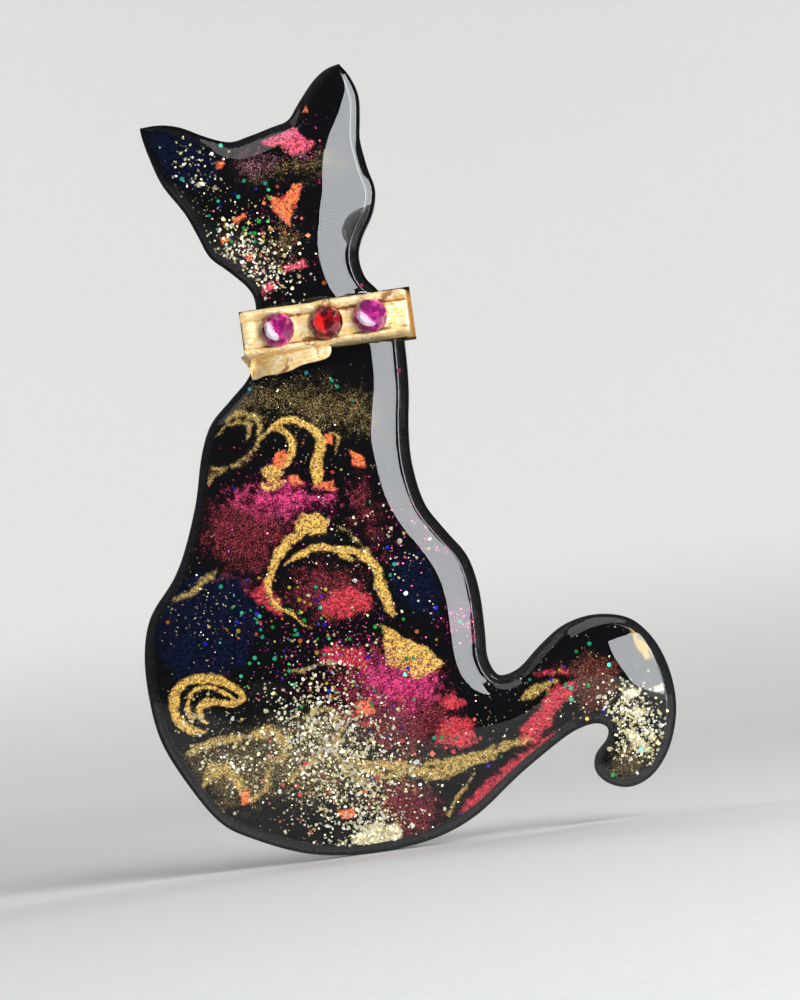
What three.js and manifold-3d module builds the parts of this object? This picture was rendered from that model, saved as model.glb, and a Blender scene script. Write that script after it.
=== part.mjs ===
import * as THREE from 'three';
import { mergeVertices } from 'three/addons/utils/BufferGeometryUtils.js';
import Module from 'manifold-3d';

// A seated-cat brooch in cast resin, seen from behind with its tail curling out to the right,
// with a gilt collar, three flat-backed stones and a bar pin with a rotating safety catch.
//
// Millimetres, as worn: +Z up to the ears, +X to the right of someone facing it, the domed
// front towards -Y and the pin towards +Y. The origin is the middle of the pin bar's outer
// face, where the cloth lies.
//
// The cat is built lying on its back in a group of its own, x right, y up, z out of the front.
// The pin is built straight in the worn frame.

// The cat
const catWidth = 44.9;
const catHeight = 68.0;
const plateThickness = 3.0;
const edgeBreak = 0.25; // sanded bevel round the back edge
const rimWidth = 0.8; // black margin left round the recess
const recessDepth = 0.45;
const layerFit = 0.06; // between the colour layer's edge and the recess wall
const domeInset = 0.3; // the clear resin stops this far inside the plate's edge
const domeHeight = 1.9;
const domeRound = 2.4; // how far in from its edge the dome goes on rising
const bond = 0.05; // between two glued faces

// The collar and its stones
const collarRise = 18.6; // middle of the collar above the origin
const collarOverhang = 0.95; // past the neck, each side
const collarBacking = 0.3; // the plate shows this far round the collar's ends
const collarFloor = 2.0; // plate to the channel's floor
const lipHeight = 0.4;
const lipWidth = 0.4;
const collarFit = 0.12; // between the collar's edges and the resin either side
const stoneDiameter = 3.0;
const stoneGap = 0.1; // between a stone and each lip
const stoneHeight = 1.2;
const girdleHeight = 0.3;
const tableDiameter = 1.7;
const stonePlaces = [-4.1, 0.15, 4.0]; // along the collar, from its middle

// The bar pin
const barLength = 19.0;
const barWidth = 5.0;
const barThickness = 0.8;
const barCorner = 1.2;
const seatStep = 0.15; // the bar's ends are coined down to seat the joint and the catch
const seatLength = 3.6;
const holeDiameter = 1.8;
const holeSpacing = 7.2;
const glueThickness = 0.4;
const glueMargin = 0.4; // squeezed out past the bar
const sheet = 0.4; // brass sheet of the joint and the catch

const stemHeight = 2.6; // the stem's axis above the bar's outer face
const stemDiameter = 0.8;
const pointLength = 4.0;
const stemReach = 9.6; // from the bar's middle to the point
const eyeDiameter = 2.0;
const eyeThickness = 0.8;
const jointPlace = -7.7; // along the bar
const jointLength = 2.8;
const eyeFit = 0.1; // between the eye and each ear
const earMargin = 0.1; // the ears stand this far past the eye
const rivetDiameter = 0.72;
const rivetFit = 0.06; // round the rivet
const rivetHeadDiameter = 1.4;
const rivetHeadHeight = 0.3;

const catchPlace = 7.6; // along the bar
const barrelLength = 1.6;
const barrelDiameter = 2.9;
const neckDiameter = 1.9;
const neckFit = 0.06; // round the necks
const cheekFit = 0.1; // between the barrel and each cheek
const cheekWall = 0.6; // round the neck's bore
const stemFit = 0.15; // round the stem in the barrel's bore and in the slots
const tabReach = 3.0;
const tabThickness = 0.5;
const tabLean = -75; // degrees from straight out of the back

// The cat's outline, left ear tip to right ear tip over the crown, and on clockwise down the
// right side, round the tail and the haunch and up the left side. Between the two ear tips it
// is a smooth curve through these points.
const drawnWidth = 44.9;
const drawnHeight = 68.0;
const crown = [
  [-9.7, 38.2], [-7.9, 38.2], [-6.1, 37.7], [-4.1, 36.6], [-2.1, 35.8], [-0.4, 36.0], [1.8, 36.5],
  [3.3, 36.9], [4.4, 38.2], [5.9, 39.9], [7.2, 40.8], [8.4, 41.1],
];
const headRight = [
  [9.2, 39.8], [9.7, 38.0], [9.5, 35.8], [9.3, 34.2], [9.6, 31.7], [10.0, 29.7], [9.5, 27.7],
  [8.3, 25.7], [7.8, 24.1], [8.1, 22.3], [9.1, 20.9],
];
const backRight = [
  [10.6, 18.4], [10.7, 15.6], [10.5, 12.1], [10.0, 8.6], [9.9, 5.5], [10.5, 2.1], [12.0, -0.5],
  [13.5, -2.9], [14.1, -5.9], [14.1, -9.4],
];
const tail = [
  [14.0, -11.6], [14.5, -13.1], [15.3, -13.4], [16.7, -12.9], [18.5, -11.4], [20.6, -10.0],
  [22.9, -9.4], [25.2, -9.6], [27.0, -10.5], [28.5, -12.6], [29.3, -15.4], [29.3, -18.4],
  [28.3, -21.4], [26.6, -23.5], [24.6, -24.3], [22.8, -23.8], [21.8, -22.6], [22.0, -21.2],
  [23.1, -20.0], [23.3, -19.1], [22.4, -18.6], [20.7, -18.9], [18.7, -19.9], [15.2, -22.1],
];
const haunch = [
  [11.6, -24.7], [8.5, -26.1], [4.9, -26.8], [0.6, -26.9], [-3.8, -26.2], [-8.1, -24.4],
  [-10.8, -22.6], [-13.1, -19.1], [-14.9, -15.2], [-15.5, -11.4], [-15.4, -7.4], [-14.4, -4.2],
];
const backLeft = [
  [-12.1, -1.4], [-10.7, 1.1], [-9.2, 5.0], [-8.2, 8.8], [-7.0, 11.5], [-5.0, 13.4],
  [-3.1, 15.2], [-2.2, 17.6], [-1.7, 20.8],
];
const headLeft = [
  [-2.0, 22.6], [-3.6, 24.5], [-5.1, 26.0], [-5.9, 28.0], [-6.8, 30.2], [-8.4, 32.9],
  [-9.2, 35.4], [-9.6, 37.2],
];

const wasm = await Module();
wasm.setup();

// Solid geometry

function solidOf(geometry) {
  const bare = geometry.index ? geometry.toNonIndexed() : geometry.clone();
  bare.deleteAttribute('normal');
  bare.deleteAttribute('uv');
  const merged = mergeVertices(bare, 1e-4);
  return new wasm.Manifold(new wasm.Mesh({
    numProp: 3,
    vertProperties: merged.attributes.position.array,
    triVerts: new Uint32Array(merged.index.array),
  }));
}

function geometryOf(solid) {
  const mesh = solid.getMesh();
  const geometry = new THREE.BufferGeometry();
  geometry.setAttribute('position', new THREE.BufferAttribute(mesh.vertProperties, 3));
  geometry.setIndex(new THREE.BufferAttribute(mesh.triVerts, 1));
  const faceted = geometry.toNonIndexed();
  faceted.computeVertexNormals();
  return faceted;
}

const joined = (first, ...rest) =>
  geometryOf(rest.reduce((solid, g) => solid.add(solidOf(g)), solidOf(first)));
const cut = (first, ...rest) =>
  geometryOf(rest.reduce((solid, g) => solid.subtract(solidOf(g)), solidOf(first)));
const common = (first, second) => geometryOf(solidOf(first).intersect(solidOf(second)));

const box = (x0, x1, y0, y1, z0, z1) => new THREE.BoxGeometry(x1 - x0, y1 - y0, z1 - z0)
  .translate((x0 + x1) / 2, (y0 + y1) / 2, (z0 + z1) / 2);

// A cylinder along x, y or z, centred on its length.
function rod(axis, diameter, length, sides = 32) {
  const geometry = new THREE.CylinderGeometry(diameter / 2, diameter / 2, length, sides);
  if (axis === 'x') geometry.rotateZ(-Math.PI / 2);
  if (axis === 'z') geometry.rotateX(Math.PI / 2);
  return geometry;
}

// A solid through a stack of closed rings of equal count, flat-capped at both ends.
function loft(rings) {
  const count = rings[0].length;
  const faces = [];
  const cap = (ring, start, up) => {
    const flat = ring.map((p) => new THREE.Vector2(p.x, p.y));
    for (const [a, b, c] of THREE.ShapeUtils.triangulateShape(flat, [])) {
      faces.push(start + a, start + (up ? b : c), start + (up ? c : b));
    }
  };
  cap(rings[0], 0, false);
  for (let k = 0; k + 1 < rings.length; k += 1) {
    for (let i = 0; i < count; i += 1) {
      const a = k * count + i;
      const b = k * count + ((i + 1) % count);
      faces.push(a, b, b + count, a, b + count, a + count);
    }
  }
  cap(rings.at(-1), (rings.length - 1) * count, true);
  const geometry = new THREE.BufferGeometry().setFromPoints(rings.flat());
  geometry.setIndex(faces);
  const faceted = geometry.toNonIndexed();
  faceted.computeVertexNormals();
  return faceted;
}

// The outline and what is worked out from it

const stepsPerPoint = 3;

function catOutline() {
  const scale = new THREE.Vector2(catWidth / drawnWidth, catHeight / drawnHeight);
  const smooth = (points) => {
    const curve = new THREE.SplineCurve(points.map(([x, y]) => new THREE.Vector2(x, y)));
    return curve.getPoints((points.length - 1) * stepsPerPoint).slice(0, -1);
  };
  const sides = [crown.at(-1), ...headRight, ...backRight, ...tail, ...haunch, ...backLeft,
    ...headLeft, crown[0]];
  const clockwise = [...smooth(crown), ...smooth(sides)];
  return clockwise.reverse().map((p) => p.multiply(scale));
}

// The unit normals that point into an outline which runs anticlockwise.
function inwardNormals(outline) {
  return outline.map((_, i) => {
    const before = outline.at(i - 1);
    const after = outline[(i + 1) % outline.length];
    const [a, b] = [outline[i].clone().sub(before), after.clone().sub(outline[i])];
    const along = a.normalize().add(b.normalize()).normalize();
    return new THREE.Vector2(-along.y, along.x);
  });
}

// The radius of the largest circle that touches the outline at each point and stays inside
// it, taken as the least of a few neighbours' and then averaged over them.
function roomInside(points, normals) {
  const radii = points.map((p, i) => {
    let radius = Infinity;
    for (const other of points) {
      const to = other.clone().sub(p);
      const inward = to.dot(normals[i]);
      if (inward > 1e-6) radius = Math.min(radius, to.lengthSq() / (2 * inward));
    }
    return radius;
  });
  const near = (list, i) => [-2, -1, 0, 1, 2].map((k) => list[(i + k + list.length) % list.length]);
  const least = radii.map((_, i) => Math.min(...near(radii, i)));
  return least.map((_, i) => near(least, i).reduce((sum, r) => sum + r, 0) / 5);
}

const at = (outline, z) => outline.map((p) => new THREE.Vector3(p.x, p.y, z));

const outline = catOutline();
const inward = inwardNormals(outline);
const room = roomInside(outline, inward);

// The outline moved inwards. Near an ear tip it moves less, and never past the middle.
function inset(distance) {
  const share = 0.8;
  return outline.map((p, i) => {
    const most = share * room[i];
    return p.clone().addScaledVector(inward[i], most * (1 - Math.exp(-distance / most)));
  });
}

// Where a level line first meets the outline and last leaves it.
function sidesAt(y) {
  const crossings = outline.flatMap((p, i) => {
    const q = outline[(i + 1) % outline.length];
    if ((p.y - y) * (q.y - y) > 0) return [];
    return [p.x + ((y - p.y) / (q.y - p.y)) * (q.x - p.x)];
  });
  return [Math.min(...crossings), Math.max(...crossings)];
}

const plateTop = plateThickness;
const recessFloor = plateTop - recessDepth;
const collarMiddle = collarRise * (catHeight / drawnHeight);
const [neckLeft, neckRight] = sidesAt(collarMiddle);
const collarHeight = stoneDiameter + 2 * (stoneGap + lipWidth);
const collarCentre = (neckLeft + neckRight) / 2;
const collarLength = neckRight - neckLeft + 2 * collarOverhang;

// The cat's pieces

// The plate runs out behind the collar's two ends, a little past them.
function catBase() {
  const plate = loft([
    at(inset(edgeBreak), 0),
    at(outline, edgeBreak),
    at(outline, plateTop),
  ]);
  const [rise, reach] = [collarHeight / 2 + collarBacking, collarLength / 2 + collarBacking];
  const backing = box(collarCentre - reach, collarCentre + reach,
    collarMiddle - rise, collarMiddle + rise, edgeBreak, plateTop);
  const recess = loft([at(inset(rimWidth), recessFloor), at(inset(rimWidth), plateTop + 1)]);
  return cut(joined(plate, backing), recess);
}

function marbleLayer() {
  const edge = inset(rimWidth + layerFit);
  return loft([at(edge, recessFloor + bond), at(edge, plateTop)]);
}

// The clear resin rises from its edge in a quarter ellipse, lower where the cat is narrow.
function wholeDome() {
  const steps = 5;
  const rings = Array.from({ length: steps + 1 }, (_, k) => {
    const turn = (k / steps) * (Math.PI / 2);
    const ring = inset(domeInset + domeRound * (1 - Math.cos(turn)));
    return ring.map((p, i) => {
      const fullness = Math.sqrt(Math.min(1, room[i] / domeRound));
      return new THREE.Vector3(p.x, p.y, plateTop + bond + domeHeight * fullness * Math.sin(turn));
    });
  });
  return loft(rings);
}

// The part of the dome above the collar, or below it.
function domePart(above) {
  const gap = collarHeight / 2 + collarFit;
  const [low, high] = above
    ? [collarMiddle + gap, collarMiddle + catHeight]
    : [collarMiddle - catHeight, collarMiddle - gap];
  const region = box(-catWidth, catWidth, low, high, plateTop, plateTop + 2 * domeHeight);
  return common(wholeDome(), region);
}

// A gilt channel across the neck, its lips along both long edges.
function collarBand() {
  const half = collarHeight / 2;
  const floor = collarFloor;
  const top = collarFloor + lipHeight;
  const section = new THREE.Shape([
    [-half, bond], [half, bond], [half, top], [half - lipWidth, top], [half - lipWidth, floor],
    [lipWidth - half, floor], [lipWidth - half, top], [-half, top],
  ].map(([x, y]) => new THREE.Vector2(x, y)));
  return new THREE.ExtrudeGeometry(section, { depth: collarLength, bevelEnabled: false })
    .translate(0, 0, -collarLength / 2)
    .rotateX(Math.PI / 2) // the section's height becomes z
    .rotateZ(Math.PI / 2) // and its length x
    .translate(collarCentre, collarMiddle, plateTop);
}

function stone() {
  const profile = [
    [0, 0], [stoneDiameter / 2, 0], [stoneDiameter / 2, girdleHeight],
    [tableDiameter / 2, stoneHeight], [0, stoneHeight],
  ].map(([x, y]) => new THREE.Vector2(x, y));
  return new THREE.LatheGeometry(profile, 16).rotateX(Math.PI / 2);
}

// The pin's pieces

// A round-cornered plate, thick along y.
function cornered(length, width, corner, y0, y1) {
  const [x, z] = [length / 2 - corner, width / 2 - corner];
  const shape = new THREE.Shape();
  shape.absarc(x, z, corner, 0, Math.PI / 2);
  shape.absarc(-x, z, corner, Math.PI / 2, Math.PI);
  shape.absarc(-x, -z, corner, Math.PI, Math.PI * 1.5);
  shape.absarc(x, -z, corner, Math.PI * 1.5, Math.PI * 2);
  return new THREE.ExtrudeGeometry(shape, { depth: y1 - y0, bevelEnabled: false, curveSegments: 6 })
    .rotateX(Math.PI / 2)
    .translate(0, y1, 0);
}

const holePlaces = [-holeSpacing / 2, holeSpacing / 2];

function pinBar() {
  const half = barLength / 2;
  const land = half - seatLength;
  const blank = cornered(barLength, barWidth, barCorner, -barThickness, 0);
  const ends = [-1, 1].map((side) => {
    const [inner, outer] = [side * land, side * (half + 1)];
    return box(Math.min(inner, outer), Math.max(inner, outer), -seatStep, 1, -barWidth, barWidth);
  });
  const hole = rod('y', holeDiameter, 4 * barThickness);
  const holes = holePlaces.map((x) => hole.clone().translate(x, 0, 0));
  return cut(blank, ...ends, ...holes);
}

// The glue bed, with a button through each hole in the bar.
function barAdhesive() {
  const top = -barThickness - bond;
  const bed = cornered(barLength + 2 * glueMargin, barWidth + 2 * glueMargin, barCorner + glueMargin,
    top - glueThickness, top);
  const height = barThickness - 2 * bond + glueThickness / 2;
  const buttons = holePlaces.map((x) =>
    rod('y', holeDiameter - 2 * bond, height, 24).translate(x, -2 * bond - height / 2, 0));
  return joined(bed, ...buttons);
}

// A tab with a round top about the stem's height, from y0 up, thick along z from z0 to z1.
function tombstone(halfWidth, y0, z0, z1) {
  const shape = new THREE.Shape();
  shape.moveTo(-halfWidth, y0);
  shape.lineTo(halfWidth, y0);
  shape.lineTo(halfWidth, stemHeight);
  shape.absarc(0, stemHeight, halfWidth, 0, Math.PI);
  return new THREE.ExtrudeGeometry(shape, { depth: z1 - z0, bevelEnabled: false, curveSegments: 12 })
    .translate(0, 0, z0);
}

const seatTop = -seatStep + bond;
const earInside = eyeThickness / 2 + eyeFit;

function jointBracket() {
  const earOutside = earInside + sheet;
  const foot = box(-jointLength / 2, jointLength / 2, seatTop, seatTop + sheet,
    -earOutside, earOutside);
  const half = eyeDiameter / 2 + earMargin;
  const ears = [
    tombstone(half, seatTop, earInside, earOutside),
    tombstone(half, seatTop, -earOutside, -earInside),
  ];
  const bore = rod('z', rivetDiameter + 2 * rivetFit, 4 * earOutside).translate(0, stemHeight, 0);
  return cut(joined(foot, ...ears), bore).translate(jointPlace, 0, 0);
}

function jointRivet() {
  const shank = earInside + sheet + bond;
  const end = shank + rivetHeadHeight;
  const [thin, wide] = [rivetDiameter / 2, rivetHeadDiameter / 2];
  const profile = [
    [0, -end], [wide, -end], [wide, -shank], [thin, -shank], [thin, shank], [wide, shank],
    [wide, end], [0, end],
  ].map(([x, y]) => new THREE.Vector2(x, y));
  return new THREE.LatheGeometry(profile, 24).rotateX(Math.PI / 2)
    .translate(jointPlace, stemHeight, 0);
}

// A wire flattened to an eye at the joint and drawn out to a point past the catch. The
// point's profile is in shares of its length and of the wire's radius.
function pinStem() {
  const eyeHole = rivetDiameter + 2 * rivetFit;
  const start = (eyeDiameter + eyeHole) / 4; // midway across the eye's ring
  const shoulder = stemReach - jointPlace - pointLength;
  const point = [[0, 1], [0.5, 0.75], [0.9, 0.4], [1, 0]];
  const profile = [
    new THREE.Vector2(0, start),
    new THREE.Vector2(stemDiameter / 2, start),
    ...point.map(([along, thick]) =>
      new THREE.Vector2((thick * stemDiameter) / 2, shoulder + along * pointLength)),
  ];
  const wire = new THREE.LatheGeometry(profile, 16).rotateZ(-Math.PI / 2);
  const eye = rod('z', eyeDiameter, eyeThickness);
  const hole = rod('z', eyeHole, eyeThickness * 2);
  return cut(joined(eye, wire), hole).translate(jointPlace, stemHeight, 0);
}

const slotWidth = stemDiameter + 2 * stemFit;

function catchHousing() {
  const inside = barrelLength / 2 + cheekFit;
  const outside = inside + sheet;
  const half = neckDiameter / 2 + neckFit + cheekWall;
  const foot = box(-outside, outside, seatTop, seatTop + sheet, -half, half);
  const cheeks = [
    tombstone(half, seatTop, inside, outside).rotateY(Math.PI / 2),
    tombstone(half, seatTop, -outside, -inside).rotateY(Math.PI / 2),
  ];
  const bore = rod('x', neckDiameter + 2 * neckFit, 4 * outside).translate(0, stemHeight, 0);
  const slot = box(-2 * outside, 2 * outside, stemHeight, stemHeight + 2 * half,
    -slotWidth / 2, slotWidth / 2);
  return cut(joined(foot, ...cheeks), bore, slot).translate(catchPlace, 0, 0);
}

// A slotted barrel whose necks turn in the cheeks, with a thumb tab on the barrel.
function catchLock() {
  const neckLength = barrelLength + 2 * (cheekFit + sheet);
  const tab = box(-barrelLength / 2, barrelLength / 2, neckDiameter / 2, tabReach,
    -tabThickness / 2, tabThickness / 2).rotateX(THREE.MathUtils.degToRad(tabLean));
  const barrel = rod('x', barrelDiameter, barrelLength);
  const body = joined(barrel, rod('x', neckDiameter, neckLength), tab);
  const bore = rod('x', slotWidth, neckLength * 2);
  const slot = box(-neckLength, neckLength, 0, barrelDiameter, -slotWidth / 2, slotWidth / 2);
  return cut(body, bore, slot).translate(catchPlace, stemHeight, 0);
}

// Assembly

function piece(name, geometry, color, roughness, metalness, opacity = 1) {
  const material = new THREE.MeshStandardMaterial({ color, roughness, metalness, opacity });
  material.transparent = opacity < 1;
  const mesh = new THREE.Mesh(geometry, material);
  mesh.name = name;
  return mesh;
}

const cat = new THREE.Group();
cat.rotation.x = Math.PI / 2;
cat.position.y = -(barThickness + bond + glueThickness + bond);
cat.add(
  piece('cat_base', catBase(), 0x0a0a0c, 0.3, 0),
  piece('marble_layer', marbleLayer(), 0x4a2c2a, 0.5, 0.3),
  piece('head_dome', domePart(true), 0xffffff, 0.05, 0, 0.25),
  piece('body_dome', domePart(false), 0xffffff, 0.05, 0, 0.25),
  piece('collar_band', collarBand(), 0xd7a24a, 0.35, 0.9),
);
const stoneNames = ['stone_left', 'stone_middle', 'stone_right'];
const stoneColours = [0xc22a8e, 0xb01020, 0xc22a8e];
stoneNames.forEach((name, i) => {
  const mesh = piece(name, stone(), stoneColours[i], 0.05, 0);
  mesh.position.set(collarCentre + stonePlaces[i], collarMiddle, plateTop + collarFloor + bond);
  cat.add(mesh);
});

const pin = new THREE.Group();
pin.add(
  piece('bar_adhesive', barAdhesive(), 0xd8cfae, 0.2, 0),
  piece('pin_bar', pinBar(), 0xc9c9c6, 0.3, 1),
  piece('joint_bracket', jointBracket(), 0xc9c9c6, 0.3, 1),
  piece('joint_rivet', jointRivet(), 0xbdbdba, 0.3, 1),
  piece('pin_stem', pinStem(), 0xd2d2cf, 0.2, 1),
  piece('catch_housing', catchHousing(), 0xc9c9c6, 0.3, 1),
  piece('catch_lock', catchLock(), 0xc9c9c6, 0.3, 1),
);

const brooch = new THREE.Group();
brooch.add(cat, pin);

export default brooch;
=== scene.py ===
# %% [markdown]
# # A resin cat brooch, and how its looks are made
# The brooch is a black cast plate with a shallow recess. Mica powders, leaf and glitter are
# swirled in the recess, and clear resin is poured over them until it stands up in a dome.
# A gilt strip with three flat-backed stones lies across the neck, and a bar pin is glued on
# the back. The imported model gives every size; this file gives every surface its finish.

# %% Load the frame
import math

import bmesh
import bpy
import numpy as np
from mathutils import Matrix, Vector
from mathutils.geometry import delaunay_2d_cdt


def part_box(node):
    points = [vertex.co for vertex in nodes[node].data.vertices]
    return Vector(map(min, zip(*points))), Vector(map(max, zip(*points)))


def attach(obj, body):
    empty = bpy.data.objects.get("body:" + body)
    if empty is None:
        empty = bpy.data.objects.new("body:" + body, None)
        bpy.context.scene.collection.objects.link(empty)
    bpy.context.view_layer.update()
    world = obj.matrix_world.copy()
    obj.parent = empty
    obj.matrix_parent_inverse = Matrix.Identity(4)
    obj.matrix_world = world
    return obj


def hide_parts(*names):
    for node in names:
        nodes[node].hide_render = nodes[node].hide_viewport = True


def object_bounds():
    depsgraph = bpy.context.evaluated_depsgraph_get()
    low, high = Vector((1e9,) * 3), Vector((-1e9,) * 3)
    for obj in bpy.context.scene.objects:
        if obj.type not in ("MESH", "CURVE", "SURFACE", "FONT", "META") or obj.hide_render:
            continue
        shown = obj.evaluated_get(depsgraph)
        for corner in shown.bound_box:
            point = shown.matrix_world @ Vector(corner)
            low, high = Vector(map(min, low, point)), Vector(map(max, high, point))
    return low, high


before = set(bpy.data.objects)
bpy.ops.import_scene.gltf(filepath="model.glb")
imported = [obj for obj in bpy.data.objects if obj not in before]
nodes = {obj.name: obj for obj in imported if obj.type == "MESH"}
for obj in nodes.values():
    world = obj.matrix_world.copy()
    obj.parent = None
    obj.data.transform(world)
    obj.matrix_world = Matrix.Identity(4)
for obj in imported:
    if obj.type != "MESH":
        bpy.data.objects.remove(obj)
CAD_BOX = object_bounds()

MM = 0.001
RNG = np.random.default_rng(11)
print("CAD box, mm:", [[round(v / MM, 2) for v in corner] for corner in CAD_BOX])

# %% [markdown]
# ## The outline comes from the model
# Every layer of the cat has its own outline, and the model already holds it as the edge of a
# flat face. Its loose triangles are merged, the triangles of one level are kept, and an edge
# that only one of them uses is on the outline. Reading it here, not drawing it again, keeps
# the looks on the model when a size changes.


# %% Read an outline
def edge_loops(node, level):
    """The closed outlines of a node's flat faces at y = level (mm), each as x, z rows in mm.

    An edge between two triangles is used twice, and an edge on the outline once."""
    mesh = nodes[node].data
    points = np.empty(len(mesh.vertices) * 3)
    mesh.vertices.foreach_get("co", points)
    corners = np.empty(len(mesh.polygons) * 3, int)
    mesh.polygons.foreach_get("vertices", corners)
    places, index = np.unique(np.round(points.reshape(-1, 3) / MM, 3), axis=0, return_inverse=True)
    faces = index.reshape(-1)[corners].reshape(-1, 3)
    faces = faces[(np.abs(places[faces][:, :, 1] - level) < 0.01).all(1)]
    edges = np.concatenate([faces[:, [0, 1]], faces[:, [1, 2]], faces[:, [2, 0]]])
    _, first, uses = np.unique(np.sort(edges, 1), axis=0, return_index=True, return_counts=True)
    following = dict(edges[first[uses == 1]])
    loops = []
    while following:
        loop = [next(iter(following))]
        while loop[-1] in following:
            loop.append(following.pop(loop[-1]))
        loops.append(places[loop[:-1]][:, [0, 2]])
    return sorted(loops, key=len, reverse=True)


def area_of(loop):
    """Half the sum of x1 z2 - x2 z1: positive where the loop runs anticlockwise."""
    x, z = loop.T
    return 0.5 * np.sum(x * np.roll(z, -1) - np.roll(x, -1) * z)


def refined(loop, parts, corner_deg=32.0):
    """A smooth curve through the loop's points: each span is a cubic Hermite curve, whose end
    slopes run along the chord between the neighbours and are as long as the span. A sharp
    corner keeps its own edges."""
    if area_of(loop) < 0:
        loop = loop[::-1]
    back, ahead = loop - np.roll(loop, 1, 0), np.roll(loop, -1, 0) - loop
    turn = np.arctan2(back[:, 0] * ahead[:, 1] - back[:, 1] * ahead[:, 0], (back * ahead).sum(1))
    sharp = np.abs(turn) > math.radians(corner_deg)
    along = (back + ahead) / np.linalg.norm(back + ahead, axis=1)[:, None]
    span = np.linalg.norm(ahead, axis=1)[:, None]
    leave = np.where(sharp[:, None], ahead, along * span)
    arrive = np.where(np.roll(sharp, -1)[:, None], ahead, np.roll(along, -1, 0) * span)
    t = (np.arange(parts) / parts)[None, :, None]
    start, end = loop[:, None], np.roll(loop, -1, 0)[:, None]
    curve = ((2 * t**3 - 3 * t**2 + 1) * start + (t**3 - 2 * t**2 + t) * leave[:, None]
             + (3 * t**2 - 2 * t**3) * end + (t**3 - t**2) * arrive[:, None])
    return curve.reshape(-1, 2)


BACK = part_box("cat_base")[1].y / MM
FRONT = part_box("cat_base")[0].y / MM
LAYER_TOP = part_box("marble_layer")[0].y / MM
LAYER_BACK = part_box("marble_layer")[1].y / MM
DOME_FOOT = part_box("body_dome")[1].y / MM
DOME_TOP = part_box("body_dome")[0].y / MM

plate_front, recess_edge = edge_loops("cat_base", FRONT)[:2]
plate_back = edge_loops("cat_base", BACK)[0]
layer_edge = refined(edge_loops("marble_layer", LAYER_TOP)[0], 3)
head_edge = refined(edge_loops("head_dome", DOME_FOOT)[0], 3)
body_edge = refined(edge_loops("body_dome", DOME_FOOT)[0], 3)
print("outline points:", len(plate_front), len(recess_edge), len(layer_edge), len(head_edge),
      len(body_edge))

# %% [markdown]
# ## A fine mesh inside an outline
# A surface like the dome needs points all over it, and they have to meet the outline exactly.
# Rows of points like a honeycomb fill the inside, a row at a time: the outline crosses the
# row an even number of times, and every second stretch is inside. Blender's own triangulation
# then joins them to the outline.


# %% Fill an outline
def inside(points, loop):
    """True where a line from the point towards +x crosses the loop an odd number of times."""
    a, b = loop, np.roll(loop, -1, 0)
    odd = np.zeros(len(points), bool)
    for part in np.array_split(np.arange(len(points)), max(1, len(points) // 4000)):
        p = points[part][:, None]
        spans = (a[:, 1] > p[..., 1]) != (b[:, 1] > p[..., 1])
        with np.errstate(divide="ignore", invalid="ignore"):
            x = a[:, 0] + (p[..., 1] - a[:, 1]) * (b[:, 0] - a[:, 0]) / (b[:, 1] - a[:, 1])
        odd[part] = (spans & (p[..., 0] < x)).sum(1) % 2 == 1
    return odd


def distance_to(points, line, closed=True):
    """Each point's distance to the nearest place on a line of points, and how far along it."""
    a = line if closed else line[:-1]
    b = np.roll(line, -1, 0) if closed else line[1:]
    along = b - a
    length2 = np.maximum((along**2).sum(1), 1e-12)
    best, where = np.empty(len(points)), np.empty(len(points))
    for part in np.array_split(np.arange(len(points)), max(1, len(points) // 4000)):
        p = points[part][:, None]
        t = np.clip(((p - a) * along).sum(2) / length2, 0, 1)
        gap = np.linalg.norm(p - (a + t[..., None] * along), axis=2)
        nearest = gap.argmin(1)
        rows = np.arange(len(part))
        best[part] = gap[rows, nearest]
        where[part] = (nearest + t[rows, nearest]) / len(a)
    return best, where


def walled(top, foot):
    """A closed shell: the top's own triangles are made elsewhere, and this gives the wall from
    the top's first len(foot) points down to the foot, and the triangles under the foot."""
    count, ring = len(foot), np.arange(len(foot))
    after = (ring + 1) % count
    wall = np.stack([ring, ring + len(top), after + len(top), after], 1)
    return wall.tolist() + (cap(foot[:, [0, 2]])[:, ::-1] + len(top)).tolist()


def filled(loop, spacing):
    """Points of the loop and a honeycomb inside it, and the triangles between them."""
    low, high = loop.min(0), loop.max(0)
    rise = spacing * math.sqrt(3) / 2
    x, z = np.meshgrid(np.arange(low[0], high[0], spacing), np.arange(low[1], high[1], rise))
    x[1::2] += spacing / 2
    grid = np.stack([x.ravel(), z.ravel()], 1)
    grid = grid[inside(grid, loop)]
    grid = grid[distance_to(grid, loop)[0] > 0.5 * spacing]
    points = np.concatenate([loop, grid])
    edges = [(i, (i + 1) % len(loop)) for i in range(len(loop))]
    out = delaunay_2d_cdt([Vector(p) for p in points], edges, [], 1, 1e-6)
    return np.array([tuple(p) for p in out[0]]), np.array(out[2])


def cap(loop):
    """Triangles that close a loop with no points inside it, anticlockwise."""
    edges = [(i, (i + 1) % len(loop)) for i in range(len(loop))]
    triangles = np.array(delaunay_2d_cdt(list(map(Vector, loop)), edges, [], 1, 1e-6)[2])
    return triangles[inside(loop[triangles].mean(1), loop)]
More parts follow.
